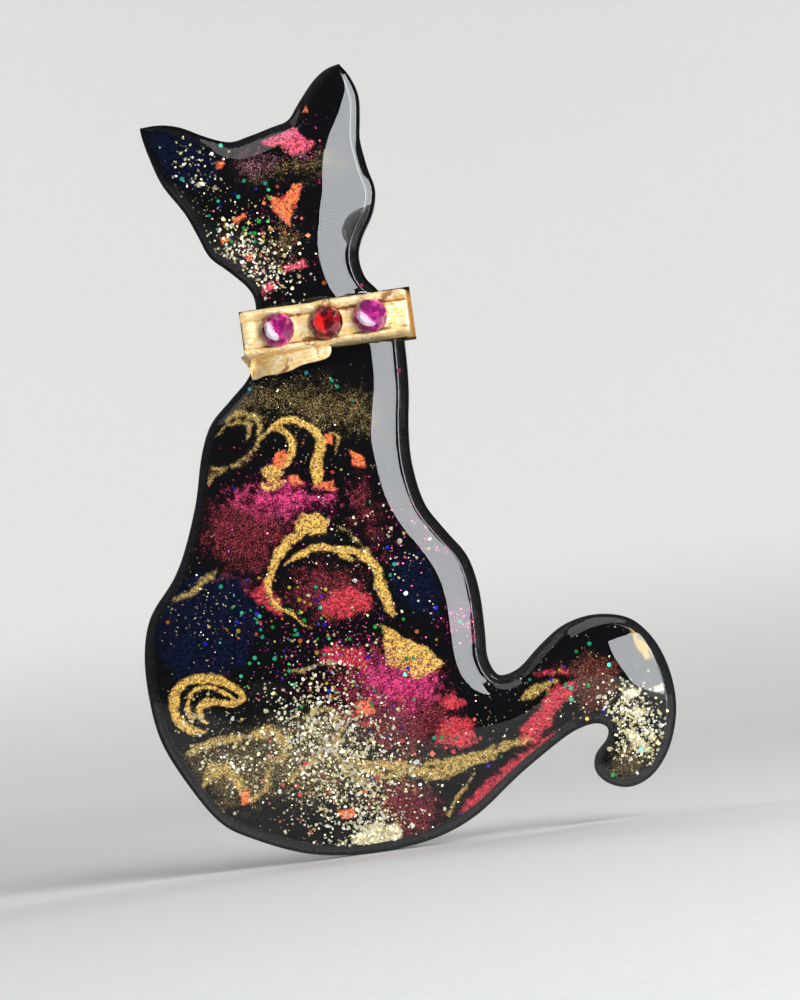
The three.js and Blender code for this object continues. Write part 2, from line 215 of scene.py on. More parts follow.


# %% [markdown]
# ## From arrays to an object
# Every new piece ends the same way: its rows of x, y, z and its faces go into a mesh, the
# object rides on its body, and the model parts that it stands in for are hidden. It is shaded
# smooth, but an edge sharper than 40 degrees stays crisp. Otherwise a wall would bend the light
# on the flat face beside it, because a corner's direction is an average of the faces that meet
# there.

# %% Put arrays into a mesh
def piece(name, points, faces, body, slot, replaces=(), smooth=True, attributes=None):
    """A mesh object from rows of x, y, z in millimetres and lists of corners."""
    mesh = bpy.data.meshes.new(name)
    mesh.from_pydata(np.asarray(points) * MM, [], faces if isinstance(faces, list) else faces.tolist())
    mesh.update()
    if smooth:
        mesh.shade_smooth()
        mesh.set_sharp_from_angle(angle=math.radians(40))
    else:
        mesh.shade_flat()
    for key, (kind, values) in (attributes or {}).items():
        attribute = mesh.attributes.new(key, kind, "POINT")
        field = "color" if kind == "FLOAT_COLOR" else "value"
        attribute.data.foreach_set(field, np.asarray(values, np.float32).ravel())
    made = bpy.data.objects.new(name, mesh)
    bpy.context.scene.collection.objects.link(made)
    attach(made, body)
    if replaces:
        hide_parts(*replaces)
    print(f"{name}: {len(mesh.vertices)} points, {len(mesh.polygons)} faces")
    return made


# %% [markdown]
# ## Shader maths as expressions
# A finish is easier to read as `0.2 + 0.1 * noise` than as six node calls. A small class wraps
# a socket, and its operators add the Math nodes. Colours go through Mix nodes, because a Math
# node would turn them grey.


# %% Wrap a socket
class Wire:
    """A node's output that can be added, multiplied and compared like a number."""

    def __init__(self, finish, socket):
        self.finish, self.socket = finish, socket

    def maths(self, operation, *others):
        values = {0: self, **dict(enumerate(others, 1))}
        return self.finish.node("ShaderNodeMath", {"operation": operation}, values)

    def __add__(self, other):
        return self.maths("ADD", other)

    def __sub__(self, other):
        return self.maths("SUBTRACT", other)

    def __mul__(self, other):
        return self.maths("MULTIPLY", other)

    def __rsub__(self, other):
        return self.finish.node("ShaderNodeMath", {"operation": "SUBTRACT"}, {0: other, 1: self})

    __radd__, __rmul__ = __add__, __mul__

    def step(self, low, high):
        """0 below low, 1 above high, and smooth between them."""
        return self.finish.node("ShaderNodeMapRange", {"interpolation_type": "SMOOTHSTEP"},
                                {0: self, 1: low, 2: high})


class Finish:
    """A material with its Principled shader, and one method that adds any other node."""

    def __init__(self, name, **uniform):
        self.material = bpy.data.materials.new(name)
        self.material.use_nodes = True
        self.tree = self.material.node_tree
        self.shader = self.tree.nodes["Principled BSDF"]
        self.output = self.tree.nodes["Material Output"]
        for socket, value in uniform.items():
            self.shader.inputs[socket.replace("_", " ")].default_value = value

    def node(self, kind, settings=None, inputs=None, output=0):
        node = self.tree.nodes.new(kind)
        for key, value in (settings or {}).items():
            if key == "stops":
                ramp = node.color_ramp
                while len(ramp.elements) < len(value):
                    ramp.elements.new(1.0)
                for element, (at, colour) in zip(ramp.elements, value):
                    element.position, element.color = at, (*colour, 1.0)
            else:
                setattr(node, key, value)
        for key, value in (inputs or {}).items():
            self.feed(node.inputs[key], value)
        return Wire(self, node.outputs[output])

    def feed(self, socket, value):
        if isinstance(value, Wire):
            self.tree.links.new(value.socket, socket)
        else:
            socket.default_value = value

    def set(self, **values):
        for socket, value in values.items():
            self.feed(self.shader.inputs[socket.replace("_", " ")], value)
        return self

    def place(self, scale=1.0):
        """Object coordinates in millimetres, stretched by scale."""
        at = self.node("ShaderNodeTexCoord", output=3)
        return self.node("ShaderNodeVectorMath", {"operation": "MULTIPLY"},
                         {0: at, 1: [1000.0 * s for s in np.broadcast_to(scale, 3)]})

    def noise(self, size, detail=3.0, rough=0.55, stretch=1.0, warp=0.0):
        """Noise whose blotches are about size millimetres across."""
        return self.node("ShaderNodeTexNoise", None, {
            "Vector": self.place(stretch), "Scale": 1.0 / size, "Detail": detail,
            "Roughness": rough, "Distortion": warp})

    def mix(self, factor, one, other, blend="MIX"):
        """one where the factor is 0 and the other colour where it is 1, or, with the blend
        MULTIPLY and the factor 1, the two multiplied."""
        four = [(*c, 1.0) if isinstance(c, tuple) else c for c in (one, other)]
        return self.node("ShaderNodeMix", {"data_type": "RGBA", "blend_type": blend},
                         {0: factor, 6: four[0], 7: four[1]}, output=2)

    def axes(self, vector):
        """The x, y and z of a vector."""
        parts = self.node("ShaderNodeSeparateXYZ", None, {0: vector}).socket.node
        return [Wire(self, output) for output in parts.outputs]

    def bump(self, height, depth_mm, strength=1.0):
        return self.node("ShaderNodeBump", None,
                         {"Height": height, "Distance": depth_mm * MM, "Strength": strength})


def linear(code):
    """A colour code such as C2A04E as linear red, green and blue."""
    value = np.array([int(code[i:i + 2], 16) for i in (0, 2, 4)]) / 255
    return tuple(np.where(value <= 0.04045, value / 12.92, ((value + 0.055) / 1.055) ** 2.4))


def dress(made, finish):
    made.data.materials.clear()
    made.data.materials.append(finish.material)
    return made

# %% [markdown]
# ## The marbled layer
# Mica powder stirred into resin makes ribbons, patches and soft clouds with torn edges. Here
# each ribbon is a line of points with two widths and each patch an outline, in millimetres
# from the middle of the pin bar. Noise bends the whole plane before distances are measured,
# so their edges tear and curl as poured powder does. The result is stored at every point of a
# fine mesh as a colour, with the thickness of the powder in its alpha.

# %% Noise on arrays
def cloud(points, size, seed, octaves=3):
    """Smooth noise about 0, within -1 to 1: random values on a square lattice, blended between
    corners by 3t^2 - 2t^3, and each octave half the size and half the strength of the last."""
    table = np.random.default_rng(seed).uniform(-1, 1, (256, 256))
    total, weight = np.zeros(len(points)), 1.0
    for _ in range(octaves):
        place = points / size + 128.3
        corner = np.floor(place).astype(int)
        t = place - corner
        t = t * t * (3 - 2 * t)
        i, j = corner.T % 256
        right = (i + 1) % 256
        across = [table[i, row] * (1 - t[:, 0]) + table[right, row] * t[:, 0]
                  for row in (j, (j + 1) % 256)]
        total += weight * (across[0] * (1 - t[:, 1]) + across[1] * t[:, 1])
        size, weight = size / 2, weight / 2
    return total


def smooth(value, low, high):
    t = np.clip((value - low) / (high - low), 0, 1)
    return t * t * (3 - 2 * t)


# %% [markdown]
# ### Where each powder lies
# The maker steers the pour by hand, so its main ribbons and patches are drawn one by one as well.
# A pattern of noise alone could give the texture, but none of the shapes that this piece is known
# by. The powders are listed from the lowest to the topmost.

# %% Powders, ribbons and patches
# Each powder: its colour, how thickly it lies, and how soft its edge is (mm).
POWDERS = {
    "navy": ("0A1024", 1.0, 0.5), "olive": ("B39A62", 0.5, 1.6), "brown": ("7E4038", 0.62, 0.9),
    "pinkhaze": ("B0688A", 0.45, 0.9), "maroon": ("B04450", 0.54, 1.4), "magenta": ("D8407C", 0.8, 1.5),
    "brick": ("C03C48", 0.86, 0.35), "dull": ("C4A45E", 0.76, 0.22), "gold": ("C49A42", 0.88, 0.3),
    "mustard": ("DDB05A", 0.86, 0.14), "coral": ("E05A72", 0.92, 0.3), "orange": ("EE7448", 0.95, 0.15),
    "cream": ("F3E6BE", 1.0, 0.25), "black": ("060607", 1.0, 0.1),
}
STROKES = {
    "mustard": [
        (0.5, 1.3, [(-1.9, 10.4), (-0.3, 10.8), (1.4, 10.3), (2.2, 9.3), (2.2, 7.8), (1.7, 6.5),
         (1.7, 5.1)]),
        (0.5, 0.9, [(-2.0, 10.3), (-1.0, 10.1), (-0.2, 9.3), (-0.1, 8.2), (-0.7, 7.3), (-1.7, 6.7)]),
        (0.4, 0.4, [(-3.2, 5.8), (-2.4, 5.3), (-1.1, 5.6)]),
        (1.0, 0.25, [(-0.2, 1.2), (-1.8, 0.5), (-3.0, -0.7), (-3.6, -2.1), (-3.9, -3.8),
         (-3.4, -4.9), (-2.1, -6.0), (-0.8, -7.2)]),
        (0.4, 0.9, [(-2.3, -1.2), (-1.0, -0.5), (0.7, -0.2), (2.4, -0.7), (3.6, -1.8)]),
        (0.6, 1.2, [(2.5, -0.6), (3.9, -1.0), (5.2, -2.2), (5.6, -3.7), (6.0, -5.5), (6.3, -7.0)]),
        (0.9, 0.8, [(-7.3, -12.0), (-8.2, -10.9), (-10.0, -10.3), (-11.8, -10.3), (-13.1, -11.0),
         (-13.5, -12.1), (-13.2, -13.3), (-12.2, -14.4), (-11.1, -14.9)]),
        (0.5, 0.5, [(-8.0, -12.2), (-9.3, -11.3), (-11.0, -11.0), (-12.0, -11.5), (-12.4, -12.4),
         (-12.0, -13.5)]),
        (0.8, 0.6, [(-7.3, -12.1), (-7.9, -12.5), (-9.3, -12.5), (-10.9, -12.3), (-11.4, -13.0),
         (-10.8, -14.0)]),
    ],
    "dull": [
        (0.3, 0.3, [(2.6, 9.0), (3.5, 9.2), (4.0, 8.3), (3.5, 7.2)]),
        (0.7, 0.5, [(-7.2, 11.3), (-5.9, 11.9), (-4.0, 12.0), (-2.8, 11.3), (-2.7, 10.1)]),
        (0.35, 0.35, [(-6.7, 10.2), (-5.6, 11.2), (-3.9, 11.3), (-3.5, 10.5), (-4.0, 9.8)]),
        (0.35, 0.5, [(-7.9, 7.9), (-5.4, 7.8), (-3.6, 8.7), (-2.5, 9.9), (-1.9, 10.3)]),
        (0.7, 0.3, [(-8.3, 6.5), (-7.7, 7.1), (-6.8, 7.5)]),
        (0.3, 0.3, [(3.0, 1.4), (4.0, 0.3), (5.0, -1.1), (5.5, -2.3)]),
        (0.3, 0.3, [(-12.2, -2.9), (-10.6, -2.6), (-9.3, -1.7), (-8.2, -1.0)]),
        (0.9, 0.6, [(-12.6, -16.3), (-10.6, -16.0), (-8.8, -15.7), (-7.4, -15.6)]),
        (1.2, 0.8, [(-11.9, -19.1), (-10.3, -18.1), (-8.9, -19.1), (-8.5, -20.4)]),
        (0.9, 0.6, [(-7.0, -15.7), (-5.5, -15.3), (-4.2, -16.4), (-4.9, -17.7), (-6.4, -18.1)]),
        (0.9, 0.5, [(0.3, -16.1), (-0.3, -17.8), (0.9, -19.7), (2.2, -21.1)]),
        (0.7, 0.7, [(1.1, -18.3), (2.7, -19.7), (4.3, -20.5), (5.6, -20.1)]),
        (0.6, 0.4, [(-4.9, -19.8), (-3.0, -18.9), (-1.7, -17.9), (0.2, -16.7)]),
        (0.35, 0.3, [(1.2, -11.3), (-0.1, -10.5), (-1.9, -10.7), (-3.7, -10.9)]),
        (0.7, 1.0, [(1.1, -18.9), (4.5, -19.6), (7.8, -20.8), (10.2, -20.1), (13.6, -19.4)]),
        (0.4, 0.5, [(7.2, -21.3), (9.9, -20.8), (13.4, -20.4)]),
        (1.1, 0.5, [(7.5, -21.1), (9.7, -21.1), (12.0, -20.4), (14.3, -19.6), (16.6, -19.0)]),
        (0.5, 0.3, [(7.6, -20.1), (9.6, -20.3), (11.8, -19.7), (14.1, -19.3)]),
        (0.35, 0.3, [(8.8, -24.8), (9.4, -24.0), (10.1, -23.1), (11.6, -21.6)]),
        (1.0, 0.4, [(16.4, -15.5), (17.8, -15.1), (19.4, -14.4)]),
        (0.5, 0.5, [(-6.0, -18.7), (-6.8, -20.4), (-8.4, -21.3)]),
        (0.5, 0.5, [(-2.3, -14.6), (-0.6, -14.2), (0.4, -15.5)]),
    ],
    "brick": [
        (2.2, 1.2, [(10.2, -25.2), (12.6, -23.4), (15.1, -21.6), (17.5, -20.0), (19.3, -18.8)]),
        (1.8, 1.6, [(16.1, -19.2), (17.9, -17.5), (19.2, -15.9), (20.7, -14.8)]),
        (0.5, 0.5, [(17.7, -13.7), (19.5, -13.6), (20.4, -13.6)]),
    ],
    "black": [
        (0.3, 0.3, [(4.4, -15.8), (2.4, -17.3), (-0.1, -19.0)]),
    ],
}
PATCHES = {
    "mustard": [
        [(-3.3, 7.2), (-2.3, 7.4), (-1.2, 6.9), (-0.9, 6.3), (-1.8, 5.7), (-2.9, 6.0)],
        [(-0.3, 2.7), (1.3, 2.8), (2.2, 1.9), (1.8, 0.9), (0.3, 0.9), (-1.2, 1.5)],
        [(5.4, -7.6), (7.1, -8.9), (9.0, -10.0), (10.2, -11.6), (9.2, -12.2), (7.8, -12.7),
         (6.7, -11.7), (5.4, -11.1)],
    ],
    "brick": [
        [(1.6, -4.3), (3.2, -3.9), (4.8, -4.8), (4.5, -6.2), (3.0, -6.8), (1.1, -6.4), (0.6, -5.3)],
        [(-0.5, -9.3), (1.3, -8.6), (3.5, -9.5), (3.6, -11.0), (1.0, -10.8), (-0.5, -10.3)],
        [(-5.8, -3.0), (-4.0, -2.6), (-3.1, -4.5), (-3.0, -6.0), (-4.6, -4.9)],
        [(9.0, -16.7), (10.5, -16.2), (11.8, -17.1), (12.1, -18.6), (10.4, -19.1), (8.7, -18.5)],
        [(9.3, -14.6), (10.7, -14.5), (11.8, -15.4), (10.8, -16.0), (9.6, -15.5)],
    ],
    "maroon": [
        [(-8.6, 4.5), (-5.5, 5.2), (-1.3, 4.0), (-0.8, 1.6), (-3.4, -0.4), (-4.0, -2.6),
         (-6.4, -1.1), (-9.3, 1.1)],
        [(-1.2, -1.8), (1.1, -1.6), (3.9, -2.9), (4.8, -5.0), (0.4, -6.8), (-2.8, -4.5)],
        [(3.7, 3.9), (5.6, 5.1), (6.8, 1.1), (6.4, -1.7), (4.9, 0.2)],
        [(0.5, -11.0), (5.0, -9.5), (9.0, -12.0), (11.0, -15.5), (9.0, -18.5), (4.0, -19.0),
         (0.5, -16.0)],
        [(2.4, -21.7), (4.3, -20.9), (6.8, -21.4), (8.2, -22.9), (8.4, -24.9), (6.8, -26.2),
         (4.4, -26.1), (2.6, -24.6), (1.6, -23.0)],
    ],
    "magenta": [
        [(-5.8, 5.2), (-2.0, 5.6), (2.0, 4.4), (3.0, 3.4), (-0.0, 2.7), (-3.4, 3.4)],
        [(3.4, -10.7), (5.6, -11.6), (9.0, -12.1), (9.4, -13.9), (6.3, -14.6), (3.6, -13.1)],
    ],
    "orange": [
        [(-1.9, 8.0), (-1.0, 8.4), (-0.4, 7.6), (-1.2, 6.8), (-1.9, 7.0)],
        [(-0.9, 5.9), (0.0, 6.0), (0.3, 5.3), (-0.5, 4.8)],
        [(1.5, 5.2), (3.0, 5.2), (3.0, 4.2), (1.7, 4.4)],
        [(2.7, 9.5), (3.7, 9.0), (3.4, 8.2), (2.7, 8.6)],
        [(4.8, 7.4), (5.8, 6.8), (5.8, 5.8), (4.9, 6.1)],
        [(2.0, -14.0), (3.5, -13.8), (3.6, -15.1), (2.1, -15.3)],
        [(-8.5, -20.1), (-7.9, -20.1), (-8.3, -21.6), (-8.8, -21.6)],
        [(-0.7, -23.0), (0.8, -22.9), (0.9, -23.8), (-0.5, -23.8)],
        [(3.0, 31.2), (3.9, 31.3), (3.5, 30.0), (2.7, 29.2), (2.3, 27.8), (1.7, 28.5), (1.0, 29.4),
         (0.8, 30.4), (1.9, 30.0)],
        [(-2.6, 29.1), (-1.6, 29.5), (-1.5, 29.0), (-2.3, 28.6)],
        [(-3.8, 27.6), (-3.1, 27.9), (-2.9, 27.2), (-3.8, 27.1)],
        [(-1.9, 25.9), (-1.1, 25.9), (-1.3, 25.4), (-1.9, 25.5)],
        [(4.7, 37.4), (5.2, 38.2), (5.3, 37.4)],
        [(-3.3, 34.3), (-2.8, 34.1), (-3.1, 33.6), (-3.4, 33.8)],
    ],
    "navy": [
        [(-12.6, -1.7), (-9.3, -0.7), (-5.9, -1.8), (-4.8, -4.3), (-5.2, -7.1), (-6.7, -9.3),
         (-9.1, -10.0), (-12.9, -9.9), (-14.3, -7.3), (-13.9, -3.6)],
        [(6.4, -1.7), (9.9, -1.6), (10.7, -4.7), (10.2, -8.1), (7.4, -6.9), (6.4, -4.1)],
        [(-8.9, 37.7), (-6.7, 37.4), (-3.3, 34.9), (-3.4, 32.9), (-5.1, 31.7), (-7.6, 32.9),
         (-8.8, 35.2)],
    ],
    "olive": [
        [(-5.7, 14.6), (-0.7, 14.5), (5.0, 13.1), (8.0, 11.8), (7.8, 8.6), (2.7, 9.6), (-1.7, 11.7),
         (-6.4, 11.8)],
        [(-12.6, -16.1), (-7.2, -15.3), (-0.6, -13.9), (1.3, -16.8), (-0.0, -22.5), (-5.7, -21.1),
         (-10.8, -21.9), (-12.6, -18.4)],
        [(-1.3, -18.8), (2.9, -18.5), (7.9, -20.1), (6.6, -21.4), (1.1, -22.4)],
        [(22.8, -21.3), (25.1, -20.7), (27.0, -21.6), (26.0, -23.5), (23.7, -24.1), (22.6, -23.0)],
        [(-1.1, 33.3), (2.4, 33.7), (6.0, 33.8), (8.4, 32.6), (7.4, 31.4), (3.1, 32.0), (-0.4, 32.1)],
        [(0.7, 27.5), (2.5, 27.9), (3.6, 26.5), (2.1, 25.4), (0.5, 26.0)],
    ],
    "brown": [
        [(20.4, -13.2), (22.7, -12.6), (24.8, -13.6), (24.9, -15.6), (23.4, -17.4), (21.2, -17.5),
         (20.6, -15.4)],
    ],
    "gold": [
        [(26.2, -10.6), (27.4, -10.7), (28.0, -12.3), (27.7, -13.7), (27.1, -13.4), (26.5, -12.1)],
    ],
    "cream": [
        [(0.1, -25.5), (1.7, -24.8), (4.3, -24.9), (4.5, -25.9), (2.6, -26.7), (0.6, -26.5)],
        [(24.9, -16.1), (25.8, -16.0), (26.5, -16.5), (25.6, -17.0), (24.9, -16.8)],
        [(25.3, -17.4), (26.6, -17.8), (26.7, -18.5), (25.6, -18.6)],
        [(24.4, -19.3), (25.5, -19.2), (26.2, -20.6), (26.8, -21.4), (26.1, -21.5), (24.7, -20.2)],
        [(27.5, -16.1), (28.2, -16.1), (28.2, -16.6), (27.5, -16.6)],
    ],
    "coral": [
        [(0.5, 35.6), (1.9, 36.2), (3.7, 36.6), (4.1, 35.6), (5.2, 34.4), (4.5, 34.0), (3.3, 33.7),
         (2.4, 34.8), (0.9, 35.2)],
        [(0.9, 24.4), (3.1, 24.5), (3.3, 23.9), (1.3, 23.7)],
        [(-0.9, 22.9), (0.1, 23.1), (0.4, 22.3), (-1.0, 21.8)],
    ],
    "pinkhaze": [
        [(-2.5, 34.8), (0.0, 35.1), (1.6, 33.8), (0.9, 32.3), (-1.6, 32.9)],
    ],
}

# %% [markdown]
# ### Spreading the powders
# The layer could be painted as a picture, but a picture has a fixed fineness and has to be stored.
# Here the distance from each point of the mesh to every ribbon and patch says how much powder
# lies there, and the points are 0.15 mm apart, finer than a ribbon's torn edge.

# %% Spread the powders over the layer
def spline(points, parts=8):
    """A smooth open line through the points: cubic Hermite spans, half-chord end slopes."""
    p = np.asarray(points, float)
    slope = np.gradient(p, axis=0)
    t = (np.arange(parts) / parts)[None, :, None]
    curve = ((2 * t**3 - 3 * t**2 + 1) * p[:-1, None] + (t**3 - 2 * t**2 + t) * slope[:-1, None]
             + (3 * t**2 - 2 * t**3) * p[1:, None] + (t**3 - t**2) * slope[1:, None])
    return np.concatenate([curve.reshape(-1, 2), p[-1:]])


def powdered(points):
    """Each point's powder colour and thickness. A powder covers as far as its distance inside a
    patch or a ribbon is above 0, blurred over its edge, and the next powder lies over it."""
    bend = np.stack([cloud(points, 2.6, 1) + 0.35 * cloud(points, 0.7, 3),
                     cloud(points, 2.6, 2) + 0.35 * cloud(points, 0.7, 4)], 1)
    torn = points + 0.22 * bend
    colour = np.tile(linear("08080A"), (len(points), 1))
    thickness = 0.08 + 0.06 * cloud(points, 1.5, 5)
    grain = cloud(points, 0.45, 6, 2)
    for powder, (code, cover, soft) in POWDERS.items():
        depth = np.full(len(points), -9.0)
        for patch in PATCHES.get(powder, []):
            outline = np.asarray(patch, float)
            gap = distance_to(torn, outline)[0]
            depth = np.maximum(depth, np.where(inside(torn, outline), gap, -gap))
        for first, last, line in STROKES.get(powder, []):
            gap, along = distance_to(torn, spline(line), closed=False)
            taper = np.sqrt(np.clip(1.15 - (2 * along - 1) ** 4, 0, 1))
            depth = np.maximum(depth, (first + (last - first) * along) / 2 * taper - gap)
        mask = smooth(depth + 0.6 * soft * grain, -soft, soft)
        share = (mask * cover)[:, None]
        colour = colour * (1 - share) + np.array(linear(code)) * share
        thickness = thickness * (1 - mask) + cover * mask
    return colour, np.clip(thickness, 0, 1)


LAYER_SPACING, DOME_SPACING = 0.15, 0.17  # mm between neighbouring points
points, triangles = filled(layer_edge, LAYER_SPACING)
colour, thickness = powdered(points)
relief = LAYER_TOP + 0.03 * (1 - thickness)
flat = np.stack([points[:, 0], relief, points[:, 1]], 1)
under = np.insert(layer_edge, 1, LAYER_BACK, axis=1)
marble = piece(
    "marble_film", np.concatenate([flat, under]), triangles.tolist() + walled(flat, under),
    "brooch", "marbled_mica", replaces=["marble_layer"],
    attributes={"powder": ("FLOAT_COLOR", np.concatenate([
        np.column_stack([colour, thickness]), np.tile([0.003, 0.003, 0.003, 0.0], (len(under), 1))]))})

# %% [markdown]
# ### The look of mica
# Mica powder is tiny plates. Some lie flat and flash and others stand on edge and stay dark, and
# where the powder is thin the black resin shows between them. The mesh is too coarse for grains,
# so fine noise cuts the stored colour into grains, and a cell pattern gives each its brightness,
# which is partly a tone that differs at random and partly a painted flash.

# %% The mica finish
def mica():
    """Powder over black: grains show where fine noise is below the powder's thickness, each
    with a brightness of its own that is partly a painted flash, and stirring lines cut through the
    thick parts."""
    film = Finish("marbled mica", IOR=1.02)
    painted = film.node("ShaderNodeAttribute", {"attribute_name": "powder"})
    cover = Wire(film, painted.socket.node.outputs["Alpha"])
    fine = film.noise(0.13, detail=2.0, rough=0.7)
    stirred = film.noise(1.1, detail=4.0, rough=0.6, warp=2.2)
    lines = (stirred * 9.0).maths("FRACT").maths("SUBTRACT", 0.5).maths("ABSOLUTE") * 2.0
    grains = (cover * 1.6 + (fine - 0.5) * 4.2 - (1 - lines) * 0.55).step(0.45, 0.8)
    cells = film.node("ShaderNodeTexVoronoi", {"feature": "F1"},
                      {"Vector": film.place(), "Scale": 7.5}, output=1)
    flake = film.node("ShaderNodeSeparateColor", None, {0: cells})
    # Painted flash: a cell pattern scales each grain's colour from 0.3 to 2.3 times the powder's, so
    # some grains are painted brighter than lit powder.
    bright = film.mix(flake, (0.3, 0.3, 0.3), (2.3, 2.3, 2.3))
    powder_with_painted_flash = film.mix(1.0, painted, bright, "MULTIPLY")
    film.set(Base_Color=film.mix(grains, (0.0035, 0.0035, 0.0045), powder_with_painted_flash),
             Roughness=0.55 - grains * 0.2, Metallic=grains * 0.25,
             Normal=film.bump(fine, 0.02, 0.5))
    return film


dress(marble, mica())
print("mica finish:", len(marble.data.materials[0].node_tree.nodes), "nodes")

# %% [markdown]
# ## The poured dome
# Resin poured on a plate stops at its edge and stands up, because surface tension holds it
# there while its weight flattens it. That balance is h - L^2 * (the curvature of h) = H: far
# from an edge h is H, and towards the edge it falls over a length L. It is solved on a grid
# by averaging neighbours, first coarsely and then finer. A small head stays rounder than a
# broad body, so L is longer there.

# %% Solve the pour
COLLAR_LOW, COLLAR_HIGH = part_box("collar_band")[0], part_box("collar_band")[1]
COLLAR_Z = (COLLAR_LOW.z + COLLAR_HIGH.z) / 2 / MM
FULL_HEIGHT = DOME_FOOT - DOME_TOP
pour_edge = refined(plate_back, 3)


BODY_REACH, HEAD_REACH, TAIL_REACH = 1.6, 3.2, 0.8  # mm; the last two come on top of the first
HEAD_RISE, TAIL_RISE = 2.3, 0.5  # mm, how much higher a small pour would stand
SWELLINGS = [  # x, z, radius and height (mm) of slow humps the pour has set with
    (1.5, 4.0, 3.2, 0.5), (5.0, 9.0, 2.2, 0.3), (-3.0, -10.0, 6.0, 0.15), (21.3, -13.2, 2.8, 0.7),
    (15.5, -17.5, 2.5, 0.4), (2.5, 27.0, 3.5, 0.4), (4.5, 14.2, 1.2, 0.35), (8.0, 13.8, 1.1, 0.35),
]


def swell(points):
    """How high the pour would stand far from any edge, and its length L, at each point: each
    hump adds its height times exp(-(distance / radius)^2)."""
    x, z = points.T
    head = smooth(z, COLLAR_Z - 2, COLLAR_Z + 6)
    tail = smooth(x, 14, 18)
    reach = BODY_REACH + HEAD_REACH * head + TAIL_REACH * tail
    full = FULL_HEIGHT * (0.93 + 0.04 * cloud(points, 6.0, 21, 2))
    full = full + HEAD_RISE * head + TAIL_RISE * tail
    for at_x, at_z, radius, height in SWELLINGS:
        full = full + height * np.exp(-((x - at_x) ** 2 + (z - at_z) ** 2) / radius**2)
    return full, reach


def pour(loop):
    """On a grid: the pour's height, and near the edge its height over the distance from it.

    Within 0.3 mm of the edge that ratio is carried out from further in, because there the
    grid's own squares would show. Also gives the grid's lowest corner and spacing."""
    low, span = loop.min(0) - 1.0, np.ptp(loop, axis=0) + 2.0
    height = None
    for size, rounds in ((0.8, 300), (0.4, 200), (0.2, 200), (0.1, 150)):
        shape = np.ceil(span / size).astype(int) + 1
        x, z = np.meshgrid(low[0] + size * np.arange(shape[0]), low[1] + size * np.arange(shape[1]))
        spots = np.stack([x.ravel(), z.ravel()], 1)
        mask = inside(spots, loop).reshape(x.shape)
        full, reach = (a.reshape(x.shape) for a in swell(spots))
        pull = (reach / size) ** 2
        height = full if height is None else sampled(height, low, 2 * size, spots).reshape(x.shape)
        for _ in range(rounds):
            height = mask * (full + pull * around(height)) / (1 + 4 * pull)
    deep = mask.astype(float)
    for _ in range(round(1.3 / size)):
        deep = mask * (deep > 0) * (around(deep > 0) == 4)
    rim = (mask & (deep == 0)).ravel()
    depth = np.full(x.shape, 9.0)
    depth.ravel()[rim] = distance_to(spots[rim], loop)[0]
    sure = mask & (depth > 0.3)
    ratio, known = np.where(sure, height / depth, 0), sure.astype(float)
    for _ in range(8):
        reached = around(known)
        ratio = np.where(sure, ratio, around(ratio * known) / np.maximum(reached, 1e-9))
        known = np.where(sure, 1.0, np.minimum(reached, 1))
    return height, ratio, low, size


def around(grid):
    """The sum of each cell's four neighbours."""
    grid = np.asarray(grid, float)
    return np.roll(grid, 1, 0) + np.roll(grid, -1, 0) + np.roll(grid, 1, 1) + np.roll(grid, -1, 1)


def sampled(grid, low, size, points):
    """The grid's value at each point, blended between its four neighbours."""
    place = (points - low) / size
    corner = np.clip(np.floor(place).astype(int), 0, np.array(grid.shape[::-1]) - 2)
    t = np.clip(place - corner, 0, 1)
    i, j = corner.T
    bottom = grid[j, i] * (1 - t[:, 0]) + grid[j, i + 1] * t[:, 0]
    top = grid[j + 1, i] * (1 - t[:, 0]) + grid[j + 1, i + 1] * t[:, 0]
    return bottom * (1 - t[:, 1]) + top * t[:, 1]


height_grid, ratio_grid, *pour_grid = pour(pour_edge)


def pour_height(points):
    """The height at each point, which near the edge is the ratio times the exact distance, and
    that distance."""
    height, gap = sampled(height_grid, *pour_grid, points), np.full(len(points), 9.0)
    near = height < 1.6
    gap[near] = distance_to(points[near], pour_edge)[0]
    share = smooth(gap, 0.6, 1.1)
    return height * share + sampled(ratio_grid, *pour_grid, points) * gap * (1 - share), gap


# %% [markdown]
# ### The domes as meshes
# The collar parts the pour in two, and each side is a closed body with its own outline: the
# surface from the pour's height, a wall down to the foot, and a flat underside on the layer.

# %% Build the two domes
def dome(name, loop, node):
    """The pour above one outline: its surface, a wall down to the foot, and a flat underside."""
    spots, faces = filled(loop, DOME_SPACING)
    height, gap = pour_height(spots)
    ripple = 0.01 * cloud(spots, 3.4, 32, 2)
    rise = np.clip(height + ripple * smooth(gap, 0.3, 1.2), 0, FULL_HEIGHT)
    print(f"{name} stands {rise.max():.2f} mm high, and its edge {rise[:len(loop)].min():.2f} mm")
    top = np.stack([spots[:, 0], DOME_FOOT - rise, spots[:, 1]], 1)
    foot = np.insert(loop, 1, DOME_FOOT, axis=1)
    return piece(name, np.concatenate([top, foot]), faces.tolist() + walled(top, foot),
                 "brooch", "clear_resin", replaces=[node])


head_pour = dome("head_pour", head_edge, "head_dome")
body_pour = dome("body_pour", body_edge, "body_dome")

# %% [markdown]
# ### The look of clear resin
# Set resin is clear with a wet skin. The layer lies right against the flat underside, so a
# straight view through the resin and a skin that reflects more at a slant look the same, and the
# light gets in.

